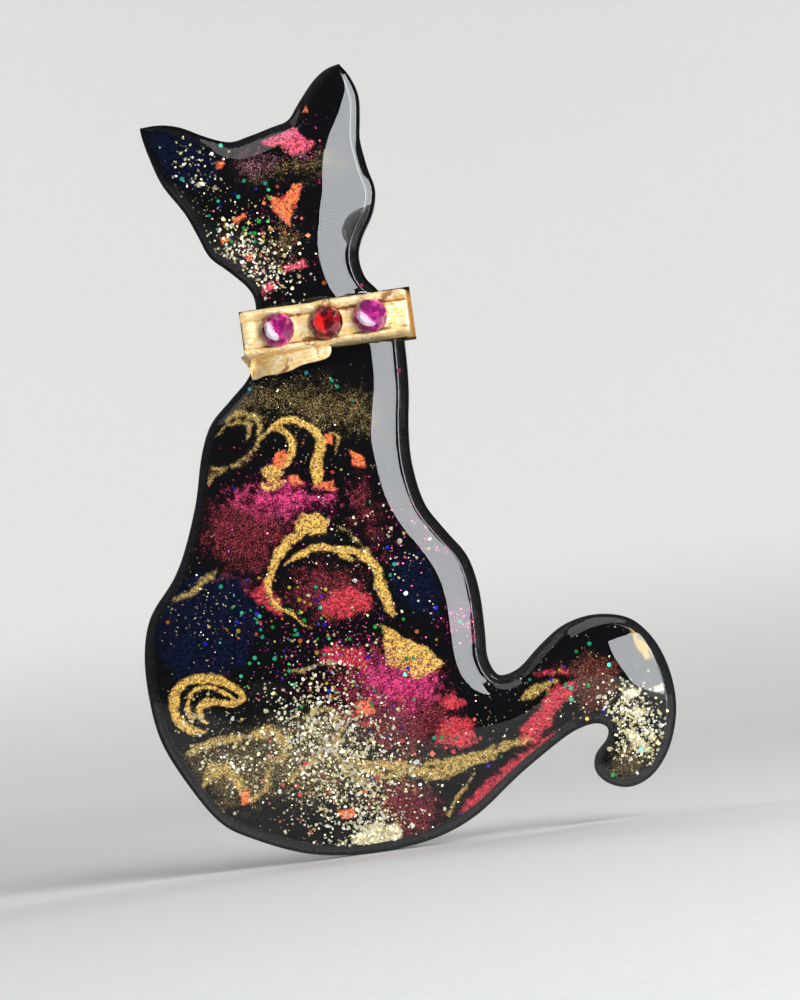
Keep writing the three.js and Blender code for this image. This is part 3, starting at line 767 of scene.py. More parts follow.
# %% The clear resin
def clear_resin():
    """Clear resin: what is under it shows straight through, and its skin reflects by angle.

    Its share of reflection is 0.052 + 0.948 (1 - cos)^5, the same from either side, so that
    light also leaves the resin."""
    resin = Finish("clear resin")
    clear = resin.node("ShaderNodeBsdfTransparent", None, {"Color": (0.985, 0.985, 0.98, 1.0)})
    gloss = resin.node("ShaderNodeBsdfGlossy", None, {"Roughness": 0.02})
    facing = resin.node("ShaderNodeLayerWeight", None, {"Blend": 0.5}, output=1)
    by_angle = 0.052 + 0.948 * facing.maths("POWER", 5.0)
    both = resin.node("ShaderNodeMixShader", None, {0: by_angle, 1: clear, 2: gloss})
    resin.tree.links.new(both.socket, resin.output.inputs["Surface"])
    return resin


def bonded_resin():
    """The underside, where the pour has set onto the layer and there is no air to mirror."""
    bonded = Finish("bonded resin")
    clear = bonded.node("ShaderNodeBsdfTransparent", None, {"Color": (0.985, 0.985, 0.98, 1.0)})
    bonded.tree.links.new(clear.socket, bonded.output.inputs["Surface"])
    return bonded


resin, bonded = clear_resin(), bonded_resin()
for made in (head_pour, body_pour):
    dress(made, resin).data.materials.append(bonded.material)
    normals = np.empty(len(made.data.polygons) * 3)
    made.data.polygons.foreach_get("normal", normals)
    made.data.polygons.foreach_set("material_index", (normals[1::3] > 0.9).astype(np.int32))

# %% [markdown]
# ## The black plate
# The plate is cast in black resin. Its edge is sanded and then coated, so it has a small
# round along the front and back edges and faint ripples down the wall.

# %% The plate
FRONT_ROUND, BACK_ROUND = 0.18, 0.25  # mm, the rounds along the plate's edges


def rim_profile():
    """Steps down the wall: how far in (mm) and at what y, a quarter round at either end."""
    turn = np.linspace(0, np.pi / 2, 5)
    inwards, along = 1 - np.sin(turn), 1 - np.cos(turn)
    front = np.stack([FRONT_ROUND * inwards, FRONT + FRONT_ROUND * along], 1)
    back = np.stack([BACK_ROUND * inwards, BACK - BACK_ROUND * along], 1)
    return np.concatenate([front, back[::-1]])


def shrunk(loop, by):
    """The loop with each point moved in, square to the chord between its neighbours, and less
    so within 1 mm of a tight bend, where points would pass each other."""
    back, ahead = loop - np.roll(loop, 1, 0), np.roll(loop, -1, 0) - loop
    turn = np.arctan2(back[:, 0] * ahead[:, 1] - back[:, 1] * ahead[:, 0], (back * ahead).sum(1))
    corners = loop[np.abs(turn) * 0.6 > np.linalg.norm(ahead, axis=1)]  # bends under 0.6 mm
    near = np.linalg.norm(loop[:, None] - corners, axis=2).min(1)
    along = (back + ahead) / np.linalg.norm(back + ahead, axis=1)[:, None]
    share = by * smooth(near, 0.0, 1.2)
    return loop + share[:, None] * np.stack([-along[:, 1], along[:, 0]], 1)


def plate():
    """The wall carried round the outline, a front rim down into the recess, and the back."""
    outer = refined(plate_front, 3)
    inner = refined(recess_edge, 3)
    count = len(outer)
    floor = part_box("marble_layer")[1].y / MM + 0.02
    rows = [np.insert(shrunk(outer, by), 1, y, axis=1) for by, y in rim_profile()]
    ring = np.arange(count)
    after = (ring + 1) % count
    faces = []
    for k in range(len(rows) - 1):
        faces += np.stack([ring + k * count, ring + (k + 1) * count, after + (k + 1) * count,
                           after + k * count], 1).tolist()
    points = np.concatenate(rows)
    faces += (cap(rows[-1][:, [0, 2]])[:, ::-1] + (len(rows) - 1) * count).tolist()
    start = len(points)
    front, triangles = ring_fill(rows[0][:, [0, 2]], inner)
    points = np.concatenate([points, np.insert(front[count:], 1, FRONT, axis=1)])
    remap = np.concatenate([ring, np.arange(start, start + len(front) - count)])
    faces += remap[triangles].tolist()
    well = np.arange(start, start + len(inner))
    low = well + len(inner)
    points = np.concatenate([points, np.insert(inner, 1, floor, axis=1)])
    faces += np.stack([well, np.roll(well, -1), np.roll(low, -1), low], 1).tolist()
    faces += low[cap(inner)].tolist()
    return points, faces


def ring_fill(outer, inner):
    """Triangles between an outer and an inner loop."""
    points = np.concatenate([outer, inner])
    n, m = len(outer), len(inner)
    edges = [(i, (i + 1) % n) for i in range(n)] + [(n + i, n + (i + 1) % m) for i in range(m)]
    out = delaunay_2d_cdt([Vector(p) for p in points], edges, [], 1, 1e-6)
    triangles = np.array(out[2])
    middle = np.array([tuple(p) for p in out[0]])[triangles].mean(1)
    return points, triangles[~inside(middle, inner)]


black_plate = piece("black_plate", *plate(), "brooch", "black_resin", replaces=["cat_base"])

# %% [markdown]
# ### The look of black resin
# It is the same resin with black pigment, so it is nearly black, shiny, and marked only by fine
# ripples and dust. A flat black would look like a hole, and these marks are what show the wall.

# %% The black resin
def black_resin():
    """Glossy black with faint sanding ripples and a little dust in the roughness. The gilding
    of the collar runs a little way round the plate at either end of the strip."""
    black = Finish("black resin", IOR=1.5, Coat_Weight=0.4, Coat_Roughness=0.06)
    dust = black.noise(0.6, detail=4.0)
    ripple = black.noise(1.4, detail=2.0)
    x, _, z = black.axes(black.place())
    middle = (COLLAR_LOW + COLLAR_HIGH) / 2 / MM
    half = (COLLAR_HIGH - COLLAR_LOW) / 2 / MM
    past_end = (x - middle.x).maths("ABSOLUTE") + dust * 0.5 - half.x
    past_edge = (z - middle.z).maths("ABSOLUTE") - half.z
    gilded = past_end.step(-0.3, -0.15) * (1 - past_edge.step(0.02, 0.08))
    return black.set(Base_Color=black.mix(gilded, (0.006, 0.006, 0.007), linear("D9A650")),
                     Metallic=gilded * 0.5, Roughness=0.16 + dust * 0.18,
                     Normal=black.bump(ripple, 0.03, 0.4))


dress(black_plate, black_resin())
print("black resin finish:", len(black_plate.data.materials[0].node_tree.nodes), "nodes")

# %% [markdown]
# ## Glitter, leaf and specks
# Three things glint in the resin: cut hexagon glitter in a few clear colours, a much finer
# magenta glitter, and torn metal leaf. Each flake is a small plate of its own, tilted its own
# way, because a tilt is what makes one flake flash while its neighbour stays dark. A plate is
# a low prism, so the mesh is closed, and all flakes of one kind are one object.

# %% Lay flakes
FLAKE_THICK = 0.02  # mm


def flakes(name, places, radii, colours, slot, corners=6, tilt=0.25, ragged=0.0, lift=0.03):
    """Prisms of `corners` sides: corner k stands at radius r and angle 2 pi k / corners, on a
    plane that leans by a random slope each way."""
    count = len(places)
    angle = 2 * np.pi * (np.arange(corners) / corners + RNG.random((count, 1)))
    reach = np.asarray(radii)[:, None] * (1 + ragged * RNG.uniform(-1, 1, (count, corners)))
    x, z = reach * np.cos(angle), reach * np.sin(angle)
    slope = RNG.normal(0, tilt, (2, count, 1))
    y = np.clip(slope[0] * x + slope[1] * z, -0.12, 0.03)
    middle = np.asarray(places)
    front = np.stack([x + middle[:, :1], LAYER_TOP - lift + y - FLAKE_THICK, z + middle[:, 1:]], 2)
    back = front + (0, FLAKE_THICK, 0)
    points = np.concatenate([front, back], 1).reshape(-1, 3)
    k = np.arange(corners)
    first = (np.arange(count) * 2 * corners)[:, None]
    sides = np.stack([k, k + corners, (k + 1) % corners + corners, (k + 1) % corners], 1)
    faces = (first + k).tolist() + (first + k[::-1] + corners).tolist()
    faces += (first[:, :, None] + sides).reshape(-1, 4).tolist()
    shade = np.repeat(np.column_stack([colours, np.ones(count)]), 2 * corners, axis=0)
    return piece(name, points, faces, "brooch", slot, smooth=False,
                 attributes={"tint": ("FLOAT_COLOR", shade)})


def scattered(count, areas):
    """Random places inside the layer, weighted by round areas of (x, z, radius, share)."""
    share = np.array([a[3] for a in areas], float)
    pick = RNG.choice(len(areas), count * 3, p=share / share.sum())
    spot = np.array([a[:3] for a in areas])[pick]
    spread = RNG.normal(0, 0.55, (count * 3, 2)) * spot[:, 2:]
    places = spot[:, :2] + spread
    kept = inside(places, layer_edge)
    return places[kept][:count]


def tinted(codes, count):
    """A colour for each of count flakes, picked from colour codes, a little lighter or darker."""
    picked = np.array([linear(code) for code in codes])[RNG.integers(0, len(codes), count)]
    return np.clip(picked * RNG.uniform(0.7, 1.25, (count, 1)), 0, 1)


# %% [markdown]
# ### Hexagon glitter
# These are the largest flakes, few enough to be placed one by one, by colour. Smaller ones of the
# same colours are scattered round the crowded areas.

# %% Hexagon glitter
HEXAGONS = {
    "2FD9A8": [(-2.8, 35.6), (-6.6, 33.2), (-1.2, 32.2), (0.6, 31.7), (0.8, 31.1), (-1.9, 30.9),
               (-3.7, 30.8), (-1.0, 26.8), (20.3, -15.0), (20.7, -15.3), (20.6, -16.3),
               (25.9, -21.3), (-8.0, -2.5), (-6.5, -5.0), (-5.0, -5.5), (-2.1, -7.1), (-2.0, -7.5),
               (-5.0, -7.3), (0.3, -5.5), (0.2, -3.7), (7.2, -2.7), (-5.9, -9.0), (-4.2, -9.3),
               (-3.1, -10.5), (4.0, -13.2), (3.5, -14.2), (-7.3, -10.4), (-2.7, -11.8),
               (6.7, -3.6), (12.1, -8.4), (7.7, -10.9), (22.8, -11.8), (24.2, -13.8), (8.5, -17.9),
               (6.8, -12.2), (4.0, 13.8), (4.4, 13.2)],
    "2FC04A": [(0.8, 30.4), (-1.8, 28.1), (-0.4, 28.5), (0.4, 28.4), (-3.0, 27.1), (-0.9, 27.5),
               (-3.5, 26.8), (21.6, -12.3), (23.2, -23.1), (-4.0, -6.6), (-1.2, -6.4), (4.8, -7.8),
               (-6.4, -9.4), (2.8, -23.2), (7.3, -7.5), (22.2, -15.3), (9.2, -18.0)],
    "E6C93A": [(-0.2, 27.1), (-3.4, 28.5), (-2.1, -3.4), (1.0, -4.0), (-3.2, -4.3), (-7.0, -6.5),
               (-1.4, -4.6), (-0.5, -9.3), (0.9, 24.0)],
    "2A30E0": [(-5.2, -5.3), (0.5, -7.0), (-7.0, -5.7), (-10.0, -7.2), (3.8, -10.3), (0.1, -12.7),
               (10.2, -6.9), (6.8, -1.2), (7.1, -11.7), (23.2, -17.6), (12.8, -20.9)],
    "F07A20": [(21.7, -18.1), (-0.5, -5.1), (-5.5, -7.0), (-1.8, -8.1), (-13.0, -4.9), (8.3, -8.7),
               (9.3, -17.4), (24.4, -21.4), (4.5, 22.3), (-1.3, 24.2)],
    "3FD0E0": [(1.9, 14.8), (-3.2, 14.1)],
    "F05090": [(7.7, 21.6), (9.9, 13.8), (11.8, -2.3), (12.9, -10.2), (13.1, -9.8)],
}
seen = np.array([spot for spots in HEXAGONS.values() for spot in spots])
tints = np.array([linear(code) for code, spots in HEXAGONS.items() for _ in spots])
more = scattered(130, [
    (-3, -7, 5, 3), (2, -12, 6, 2), (-1, 28, 4, 1.5), (8, -18, 6, 1), (20, -15, 5, 0.6), (4, 3, 7, 1)])
places = np.concatenate([seen, more])
colours = np.concatenate([tints, tinted(list(HEXAGONS)[:5], len(more))])
sizes = np.concatenate([RNG.uniform(0.16, 0.21, len(seen)), RNG.uniform(0.09, 0.15, len(more))])
hexagons = flakes("hexagon_glitter", places, sizes, colours, "marbled_mica", tilt=0.12, lift=0.05)

# %% [markdown]
# ### Fine glitter and specks
# There are too many of these to place, and only where they crowd together matters. Each area is a
# middle, a radius and a share of the flakes, and the places are random, from one seeded source.

# %% Fine magenta glitter and gold specks
fine = scattered(1700, [
    (-2, 4, 5, 3), (3, -11, 4, 4), (7, -13, 3, 2), (12, -8, 2, 1.5), (9, 0, 4, 1.5), (-3, -8, 5, 2),
    (0, 26, 4, 1.2), (4, 34, 3, 0.8)])
specks = scattered(1900, [
    (-1, -18, 8, 4), (-10, -4, 4, 1), (-10, -14, 4, 1), (0, 12, 5, 1), (-1, 27, 4, 1.2),
    (-5, 33, 3, 0.6), (22, -16, 5, 1.2), (4, 0, 9, 1.6), (13, -18, 6, 0.8)])
places = np.concatenate([fine, specks])
colours = np.concatenate([tinted(["C41E78", "D0287F", "8A1B8E", "B02050", "E0407A"], len(fine)),
                          tinted(["E9D9A0", "D9C48A", "F4EBC8", "C9B070"], len(specks))])
sizes = np.concatenate([RNG.uniform(0.05, 0.095, len(fine)), RNG.uniform(0.03, 0.075, len(specks))])
fine_glitter = flakes("fine_glitter", places, sizes, colours, "marbled_mica", corners=5, tilt=0.2)

# %% [markdown]
# ### Metal leaf
# Leaf crumbles into scraps of every size, many tiny and a few large, so the sizes come from a
# lopsided spread. Seven uneven corners make a scrap look torn, and four make a shard of mica.

# %% Metal leaf
leaf = scattered(3400, [
    (-3, 26, 3.2, 3.0), (0, 24, 3, 1.5), (-1, -16, 4.5, 8), (1, -21, 5.5, 8), (2.5, -25.5, 2, 3.5),
    (-9, -18, 3.0, 1.6), (25.5, -18.5, 2.8, 4.5), (26.2, -21, 1.8, 1.6), (-12, -13, 1.6, 0.5),
    (6, -2, 5, 0.5), (1, -11, 4, 0.8), (-5.5, 34, 2.5, 0.6)])
sizes = RNG.gamma(2.6, 0.021, len(leaf)) + 0.035
leaf_flakes = flakes("leaf_flakes", leaf, sizes,
                     tinted(["FBF1CF", "F7E7B4", "FFF8E4", "EAD58E"], len(leaf)),
                     "gilt", corners=7, tilt=0.3, ragged=0.45, lift=0.06)
shards = scattered(80, [
    (1, 28, 3, 2), (3, 35, 2, 0.6), (3, -14.5, 1.5, 1.5), (-3, -21, 5, 2), (9, -18, 3, 1),
    (0, 7, 3, 1), (0, -19, 6, 2)])
shard_flakes = flakes("orange_shards", shards, RNG.uniform(0.1, 0.26, len(shards)),
                      tinted(["E05A3A", "D94848", "F07A50"], len(shards)), "gilt", corners=4,
                      tilt=0.3, ragged=0.35, lift=0.05)

# %% [markdown]
# ### The look of a flake
# Glitter is dyed film with a mirror behind it and leaf is bare metal, so both are a tint, a gloss
# and a share of metal. The tint is stored on each flake, and one finish serves them all.

# %% Glitter and leaf finishes
def sparkle(name, rough, metal, patch):
    """A flake takes its own tint, and fine noise breaks its face into brighter and duller parts."""
    foil = Finish(name, Coat_Weight=0.3, Coat_Roughness=0.05)
    tint = foil.node("ShaderNodeAttribute", {"attribute_name": "tint"})
    grain = foil.noise(patch, detail=2.0)
    shade = foil.mix(grain.step(0.3, 0.7), (0.72, 0.72, 0.72), (1.0, 1.0, 1.0))
    colour = foil.mix(1.0, tint, shade, "MULTIPLY")
    return foil.set(Base_Color=colour, Roughness=rough + grain * 0.15, Metallic=metal + grain * 0.1)


glitter_film = sparkle("glitter film", 0.12, 0.55, 0.2)
leaf_metal = sparkle("metal leaf", 0.25, 0.35, 0.12)
print("flakes in all:", len(hexagons.data.polygons) // 8 + len(fine_glitter.data.polygons) // 7
      + len(leaf_flakes.data.polygons) // 9 + len(shard_flakes.data.polygons) // 6)
for made in (hexagons, fine_glitter):
    dress(made, glitter_film)
for made in (leaf_flakes, shard_flakes):
    dress(made, leaf_metal)

# %% [markdown]
# ## The gilt collar
# A strip of clay pressed across the neck, with a lip along either edge, then gilded by hand.
# Its section is a closed loop carried along the neck. The lips wander and swell by slow noise,
# so no stretch is as straight as the drawn one.

# %% The collar strip
def collar():
    """The section carried along x: z from the middle, t out of the plate, both bent by waves.
    Also gives how deep in a crease each point lies, for the painted shade that darkens the gilding
    there."""
    low, high = (Vector(c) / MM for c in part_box("collar_band"))
    half, top = (high.z - low.z) / 2, high.y - low.y
    floor = top - 0.62
    # The third column says how deep in a crease a point lies, which sets a painted shade.
    section = np.array([  # z, t, and the crease
        (-half, 0.0, 0.3), (-half, top - 0.42, 0.1), (-half + 0.1, top - 0.16, 0),
        (-half + 0.3, top - 0.02, 0), (-half + 0.52, top - 0.14, 0), (-half + 0.66, floor + 0.16, 0.7),
        (-half + 0.74, floor, 1), (-half + 0.9, floor + 0.03, 0.3), (-half * 0.3, floor + 0.16, 0),
        (half * 0.3, floor + 0.14, 0), (half - 1.12, floor + 0.04, 0.3), (half - 0.98, floor, 1),
        (half - 0.88, floor + 0.2, 0.7), (half - 0.7, top - 0.12, 0), (half - 0.42, top, 0),
        (half - 0.14, top - 0.14, 0), (half, top - 0.42, 0.1), (half, 0.0, 0.3)])
    across, out, crease = section.T
    lip = np.where(out > top - 0.43, np.abs(across) / half, 0)
    x = np.linspace(low.x, high.x, 170)
    wander = np.stack([x, np.zeros_like(x)], 1)
    ends = 0.16 * (1 - np.sqrt(1 - np.clip(1 - np.minimum(x - x[0], x[-1] - x) / 0.5, 0, 1) ** 2))
    lower = 0.05 + 0.08 * cloud(wander, 2.0, 41, 3) + ends
    upper = 0.05 + 0.08 * cloud(wander, 1.7, 42, 3) + ends
    shift = np.where(across < 0, lower[:, None], -upper[:, None]) * lip
    grid_z = np.clip(across + shift, -half, half)
    places = np.stack([np.repeat(x, len(across)), grid_z.ravel()], 1)
    waves = (0.09 * cloud(places, 1.1, 44, 3)).reshape(grid_z.shape)
    swollen = 0.1 * cloud(wander, 1.5, 43, 2)[:, None] * (out > floor + 0.3)
    sink = (waves + swollen - 0.06 - ends[:, None] * 0.5) * (out > 0.01)
    grid_out = np.clip(out + sink, 0, top)
    points = np.stack([x[:, None] + 0 * across, high.y - grid_out, grid_z + COLLAR_Z], 2).reshape(-1, 3)
    n = len(across)
    i, j = np.meshgrid(np.arange(len(x) - 1), np.arange(n), indexing="ij")
    a, b = i * n + j, i * n + (j + 1) % n
    faces = np.stack([a, b, b + n, a + n], 2).reshape(-1, 4).tolist()
    faces += [list(range(n))[::-1], list((len(x) - 1) * n + np.arange(n))]
    return points, faces, np.tile(crease, len(x)) * (0.75 + 0.5 * cloud(places, 0.8, 45, 2))


points, faces, crease = collar()
collar_strip = piece("collar_strip", points, faces, "brooch", "gilt", replaces=["collar_band"],
                     attributes={"crease": ("FLOAT", np.clip(crease, 0, 1))})
softer = collar_strip.modifiers.new("edges", "BEVEL")
softer.width, softer.segments = 0.08 * MM, 2
softer.limit_method, softer.angle_limit = "ANGLE", math.radians(50)

# %% [markdown]
# ### Gilding that ran over
# Below the strip's left half the gilding has run onto the pour. A flat patch would cut into the
# dome, so its outline is laid on the pour's own height, and it thins out to its edge.

# %% The spilled gilding
SPILL = [(-3.5, 17.0), (-3.2, 16.3), (-2.9, 15.6), (-2.75, 14.85), (-1.6, 14.95), (-0.4, 14.9),
         (0.7, 15.0), (1.9, 15.35), (3.6, 15.5), (4.3, 15.8), (4.4, 16.6), (2.9, 16.7),
         (-0.5, 16.7), (-2.6, 16.75)]


def spill():
    """Gilding that ran onto the pour below the collar: its outline laid on the pour, 0.05 mm up."""
    outline = np.asarray(SPILL, float)
    edge = refined(outline, 6, corner_deg=180)
    spots, faces = filled(edge, 0.14)
    kept = np.minimum(distance_to(spots, edge)[0] / 0.25, 1)
    rise = pour_height(spots)[0] + 0.05 * np.sqrt(kept) + 0.02 * cloud(spots, 0.8, 51, 2) * kept
    top = np.stack([spots[:, 0], DOME_FOOT - np.minimum(rise, FULL_HEIGHT + 0.1), spots[:, 1]], 1)
    foot = top[:len(edge)] + (0, 0.25, 0)
    return np.concatenate([top, foot]), faces.tolist() + walled(top, foot)


gilt_spill = piece("gilt_spill", *spill(), "brooch", "gilt")

# %% [markdown]
# ### The look of the gilding
# Gilding paint is metal flakes in varnish, brushed on by hand. It is pale where it is thick and
# brown where it lies thin. The creases are painted the same brown, as a painted shade. Each point of
# the strip knows how deep in a crease it lies, so the painted shade follows the shape.

# %% The gilding
def gilding():
    """Gold paint over clay: pale where it is brushed thick, brown where it lies thin, and brown in the
    creases as painted shade.
    """
    gold = Finish("hand gilding", IOR=1.5)
    streak = gold.noise(0.5, detail=5.0, rough=0.7, stretch=(0.6, 1.0, 1.3), warp=1.2)
    speck = gold.noise(0.16, detail=3.0, rough=0.7)
    patch = gold.noise(1.8, detail=3.0, warp=0.8)
    body = gold.mix(streak.step(0.38, 0.66), linear("F0C270"), linear("FFF2CC"))
    crease = gold.node("ShaderNodeAttribute", {"attribute_name": "crease"}, output=2)
    # Brown in thin patches of gilding, and in the creases a painted shade of the same brown.
    thin_and_crease_shade = ((patch * 1.1 + speck * 0.35).step(0.78, 0.95) + crease * (0.6 + speck)).step(0.3, 1.1)
    worn = gold.mix(thin_and_crease_shade, body, linear("8E5620"))
    glints = (speck * 1.0).step(0.6, 0.72)
    colour = gold.mix(glints * 0.6, worn, linear("FFF0C8"))
    return gold.set(Base_Color=colour, Metallic=0.42 - thin_and_crease_shade * 0.25, Roughness=0.36 + streak * 0.22,
                    Normal=gold.bump(streak * 0.6 + speck * 0.4, 0.06, 0.8))


gilt = gilding()
dress(collar_strip, gilt)
dress(gilt_spill, gilt)

# %% [markdown]
# ## Flat-backed stones
# A flat-backed stone is a low cut crown on a foil. Most of what is seen in it is the foil
# caught by the facets inside, so its colour changes from facet to facet. Here each facet is a
# real flat face, and the light and dark of the foil in it is a painted reflection, with a painted
# highlight on the side towards the window.

# %% Cut the stones
def stone(name, slot):
    """Four rings of corners, each turned half a step: girdle foot, girdle, break and table."""
    low, high = (Vector(c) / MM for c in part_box(name))
    middle, radius, height = (low + high) / 2, (high.x - low.x) / 2, high.y - low.y
    rings = [(16, 0.97, 0.0, 0.0), (16, 1.0, 0.18, 0.0), (8, 0.84, 0.55, 0.5), (8, 0.52, 1.0, 0.0)]
    points, starts = [], []
    for count, reach, up, turn in rings:
        angle = 2 * np.pi * (np.arange(count) + turn) / count + 0.2
        starts.append(sum(len(p) for p in points))
        points.append(np.stack([middle.x + reach * radius * np.cos(angle),
                                np.full(count, high.y - up * height),
                                middle.z + reach * radius * np.sin(angle)], 1))
    s = starts
    k, e = np.arange(16), np.arange(8)
    faces = np.stack([s[0] + k, s[0] + (k + 1) % 16, s[1] + (k + 1) % 16, s[1] + k], 1).tolist()
    faces += np.stack([s[1] + (2 * e + 1) % 16, s[1] + (2 * e + 2) % 16, s[2] + e], 1).tolist()
    faces += np.stack([s[1] + 2 * e, s[1] + 2 * e + 1, s[2] + e], 1).tolist()
    onward = (e + 1) % 8
    faces += np.stack([s[1] + (2 * e + 2) % 16, s[2] + onward, s[3] + onward, s[2] + e], 1).tolist()
    faces += np.stack([s[2] + e, s[3] + (e + 1) % 8, s[3] + e], 1).tolist()
    faces += [list(s[3] + e), list((s[0] + k)[::-1])]
    return piece(name.replace("stone", "cut_stone"), np.concatenate(points), faces, "brooch", slot,
                 replaces=[name], smooth=False)


def jewel(name, centre, dark, mid, bright, turn):
    """Painted reflection of the foil seen through facets: the face is cut in sectors round its
    middle, and noise of the sector's number says how bright each is. The side of the stone that
    faces the window is painted brighter, a painted highlight."""
    gem = Finish(name, IOR=1.6, Coat_Weight=1.0, Coat_Roughness=0.02)
    local = gem.node("ShaderNodeVectorMath", {"operation": "SUBTRACT"},
                     {0: gem.place(), 1: centre})
    x, _, z = gem.axes(local)
    angle = z.maths("ARCTAN2", x)
    radius = (x * x + z * z).maths("SQRT")
    ring = (radius * 2.4).maths("FLOOR")
    sector = (angle * (8 / math.pi) + ring * 0.5).maths("FLOOR")
    key = gem.node("ShaderNodeCombineXYZ", None, {0: sector, 1: ring, 2: turn})
    chance = gem.node("ShaderNodeTexWhiteNoise", {"noise_dimensions": "3D"}, {"Vector": key})
    # Painted highlight: the sector colours turn brighter towards the window's side of the stone.
    towards = (x * math.cos(turn) + z * math.sin(turn)).step(-0.2, 0.6)
    inner = 1 - (radius - 0.95).step(0.0, 0.1)
    painted_flash = (chance * 0.45 + towards * inner * 0.9).step(0.1, 1.0)
    colour = gem.mix((painted_flash * 2.0).step(0, 1), dark, mid)
    return gem.set(Base_Color=gem.mix((painted_flash * 2.0 - 1.0).step(0, 1), colour, bright),
                   Metallic=0.15 + painted_flash * 0.15, Roughness=0.06 + chance * 0.08)


for side, slot, dark, mid, bright, turn in (
        ("left", "fuchsia_stone", "7A1450", "E0289A", "FFF2FD", math.radians(205)),
        ("middle", "red_stone", "4A0A12", "B01020", "FF2A22", math.radians(195)),
        ("right", "fuchsia_stone", "861A62", "E83CA8", "FFE8FA", math.radians(225))):
    low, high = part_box("stone_" + side)
    centre = tuple((low + high) / 2 / MM)
    cut = stone("stone_" + side, slot)
    dress(cut, jewel(side + " stone foil", centre, linear(dark), linear(mid), linear(bright), turn))

# %% [markdown]
# ## The pin on the back
# The pin's pressed and drawn metal parts have the right shapes already, with edges that are
# too sharp. A copy of each mesh is merged, its flat triangles are joined, and a bevel rounds
# the edges, which is what makes plated metal catch a line of light.

# %% Soften the metal parts
BEVEL_FROM = math.radians(28)  # edges flatter than this stay as they are


def softened(node, body, width):
    """A copy of a model part with rounded edges, in the part's own place."""
    mesh = nodes[node].data.copy()
    mesh.materials.clear()
    made = bpy.data.objects.new("soft_" + node, mesh)
    bpy.context.scene.collection.objects.link(made)
    work = bmesh.new()
    work.from_mesh(mesh)
    bmesh.ops.remove_doubles(work, verts=work.verts, dist=1e-6)
    bmesh.ops.dissolve_limit(work, angle_limit=math.radians(1.0), verts=work.verts, edges=work.edges)
    work.to_mesh(mesh)
    work.free()
    mesh.shade_smooth()
    edges = made.modifiers.new("edges", "BEVEL")
    edges.width, edges.segments, edges.limit_method = width * MM, 3, "ANGLE"
    edges.angle_limit, edges.harden_normals = BEVEL_FROM, True
    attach(made, body)
    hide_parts(node)
    return made


def plated(name, tint, rough):
    """Plated metal: rubbed duller in patches, with fine scratches along its length."""
    metal = Finish(name, Metallic=1.0)
    scratch = metal.noise(0.12, detail=4.0, stretch=(0.12, 1.0, 1.0))
    worn = metal.noise(1.6, detail=4.0)
    tone = metal.mix(worn.step(0.35, 0.7), linear(tint), tuple(0.82 * c for c in linear(tint)))
    return metal.set(Base_Color=tone, Roughness=rough + worn * 0.16 + scratch * 0.08,
                     Normal=metal.bump(scratch, 0.006, 0.5))


nickel = plated("nickel plate", "D5D3CC", 0.12)
wire = plated("steel wire", "C4C5C6", 0.14)
for node, body, width in (("pin_bar", "brooch", 0.14), ("joint_bracket", "brooch", 0.1),
                          ("joint_rivet", "brooch", 0.08), ("catch_housing", "brooch", 0.1),
                          ("catch_lock", "lock", 0.08)):
    dress(softened(node, body, width), nickel)
dress(softened("pin_stem", "stem", 0.04), wire)

# %% [markdown]
# ### The glue
# The bar is bedded in amber epoxy that has come up through its holes. It is soft-edged and cloudy,
# so it takes the same softened copy as the metal, with a hazy finish.

# %% The glue
glue = Finish("epoxy", IOR=1.54, Coat_Weight=0.5, Coat_Roughness=0.08)
haze = glue.noise(0.7, detail=3.0)
glue.set(Base_Color=glue.mix(haze, linear("8A6A34"), linear("C9A86A")), Roughness=0.2 + haze * 0.2,
         Normal=glue.bump(haze, 0.06, 0.6))
dress(softened("bar_adhesive", "brooch", 0.12), glue)

# %% [markdown]
# ## Floor, light and camera
# A window is a broad soft light on one side, and the resin shows its shape as a pale streak.
# Everything else that the resin could mirror is kept dim, so black stays black.

# %% Floor
def sweep():
    """A floor that curves up into a wall: a profile of y and z carried along x."""
    turn = np.linspace(0, np.pi / 2, 16)
    y = np.concatenate([[-900.0, 500.0], 500 + 300 * np.sin(turn), [800.0]])
    z = np.concatenate([[0.0, 0.0], 300 * (1 - np.cos(turn)), [1500.0]]) + CAD_BOX[0][2] / MM - 0.01
    x = np.linspace(-1500, 1500, 3)
    points = np.stack([np.repeat(x, len(y)), np.tile(y, 3), np.tile(z, 3)], 1)
    n = len(y)
    i, j = np.meshgrid(np.arange(2), np.arange(n - 1), indexing="ij")
    a = i * n + j
    return points, np.stack([a, a + n, a + n + 1, a + 1], 2).reshape(-1, 4)


floor_mesh = bpy.data.meshes.new("floor_sweep")
points, faces = sweep()
floor_mesh.from_pydata(points * MM, [], faces.tolist())
floor_mesh.shade_smooth()
floor_sweep = bpy.data.objects.new("floor_sweep", floor_mesh)
bpy.context.scene.collection.objects.link(floor_sweep)
paper = Finish("pale paper", Roughness=0.9)
tooth = paper.noise(1.2, detail=4.0)
height = paper.axes(paper.place())[2] - CAD_BOX[0][2] / MM
# Painted shade: the floor is painted a darker grey than the wall it curves up into.
shade = paper.mix(height.step(0, 60), linear("CBCAC9"), linear("E6E5E3"))
grain = paper.mix(tooth, (0.97, 0.97, 0.97), (1.03, 1.03, 1.03))
paper.set(Base_Color=paper.mix(1.0, shade, grain, "MULTIPLY"), Normal=paper.bump(tooth, 0.15, 0.3))
dress(floor_sweep, paper)
print("floor at", round(CAD_BOX[0][2] / MM, 2), "mm, just under the brooch's lowest point")

# %% [markdown]
# ### Lamps and the view
# The window is large and cool, on the right. Two dim lamps keep the left side from falling to
# black, and two more light only the wall. Each is a rectangle, because the resin mirrors its
# shape, and none shows itself to the camera. The camera is long, so the cat isn't foreshortened,
# and it is rolled, because the brooch is seen at a slant.

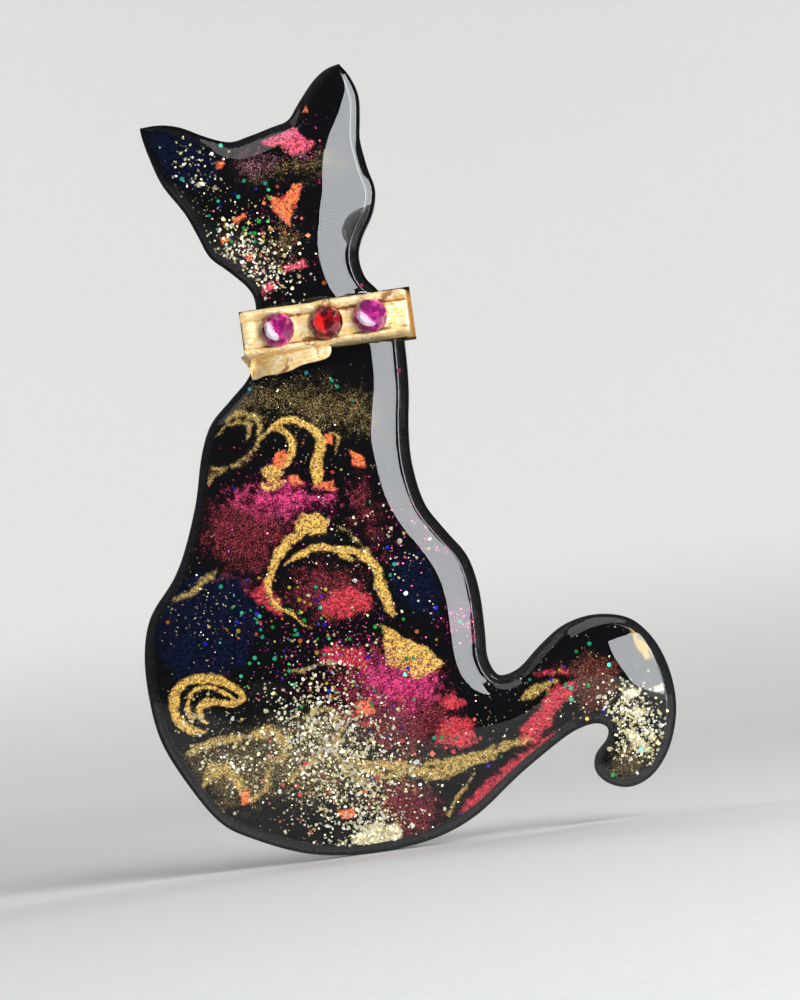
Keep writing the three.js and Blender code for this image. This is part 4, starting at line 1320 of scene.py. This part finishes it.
# %% Lights and camera
AIM = Vector((8.43, FRONT, 2.70)) * MM


def softbox(name, azimuth, rise, distance, width, height, radiance, colour=(1, 1, 1), aim=AIM):
    """A rectangle of light: azimuth turns from the front towards +x, rise lifts it, and its
    power is radiance times pi times its area."""
    light = bpy.data.lights.new(name, "AREA")
    light.shape, light.size, light.size_y = "RECTANGLE", width * MM, height * MM
    light.energy = radiance * math.pi * width * height * MM * MM
    light.color = colour
    a, r = math.radians(azimuth), math.radians(rise)
    away = Vector((math.sin(a) * math.cos(r), -math.cos(a) * math.cos(r), math.sin(r)))
    made = bpy.data.objects.new(name, light)
    made.location = aim + away * distance * MM
    made.rotation_euler = away.to_track_quat("Z", "Y").to_euler()
    bpy.context.scene.collection.objects.link(made)
    made.visible_camera = False
    return made


softbox("window", 42, 14, 420, 330, 360, 10.0, (0.94, 0.97, 1.0))
softbox("high_left", -80, 50, 500, 200, 200, 0.8)
softbox("overhead", 10, 74, 450, 400, 180, 1.8)
BACKDROP = Vector((0, 0.8, 0.25))
softbox("backdrop_left", -62, 32, 700, 500, 500, 3.85, aim=BACKDROP)
softbox("backdrop_right", 62, 32, 700, 500, 500, 3.85, aim=BACKDROP)

bpy.context.scene.view_settings.view_transform = "Standard"
world = bpy.data.worlds.new("studio")
bpy.context.scene.world = world
world.use_nodes = True
world.node_tree.nodes["Background"].inputs["Color"].default_value = (0.95, 0.97, 1.0, 1.0)
world.node_tree.nodes["Background"].inputs["Strength"].default_value = 0.05

CAMERA_AWAY = 260.0  # mm
FRAME_TALL = 86.08  # mm of the face plane, from the bottom to the top of the frame
camera = bpy.data.cameras.new("camera")
camera.sensor_fit, camera.sensor_height = "VERTICAL", 36.0
camera.lens = 36.0 * CAMERA_AWAY / FRAME_TALL
side, under, roll = math.radians(5), math.radians(-4), math.radians(7.96)
towards = Vector((math.sin(side) * math.cos(under), -math.cos(side) * math.cos(under), math.sin(under)))
up = Vector((math.sin(roll), 0, math.cos(roll)))
right = up.cross(towards).normalized()
eye = bpy.data.objects.new("camera", camera)
eye.matrix_world = Matrix.Translation(AIM + towards * CAMERA_AWAY * MM) @ Matrix(
    (right, towards.cross(right), towards)).transposed().to_4x4()
bpy.context.scene.collection.objects.link(eye)
bpy.context.scene.camera = eye
print(f"lens {camera.lens:.0f} mm, {CAMERA_AWAY:.0f} mm away")

# %% [markdown]
# ## The end
# The view layer is brought up to date. Softened edges and waves are meant to stay inside the
# size that the model gives.

# %% Finish
bpy.context.view_layer.update()
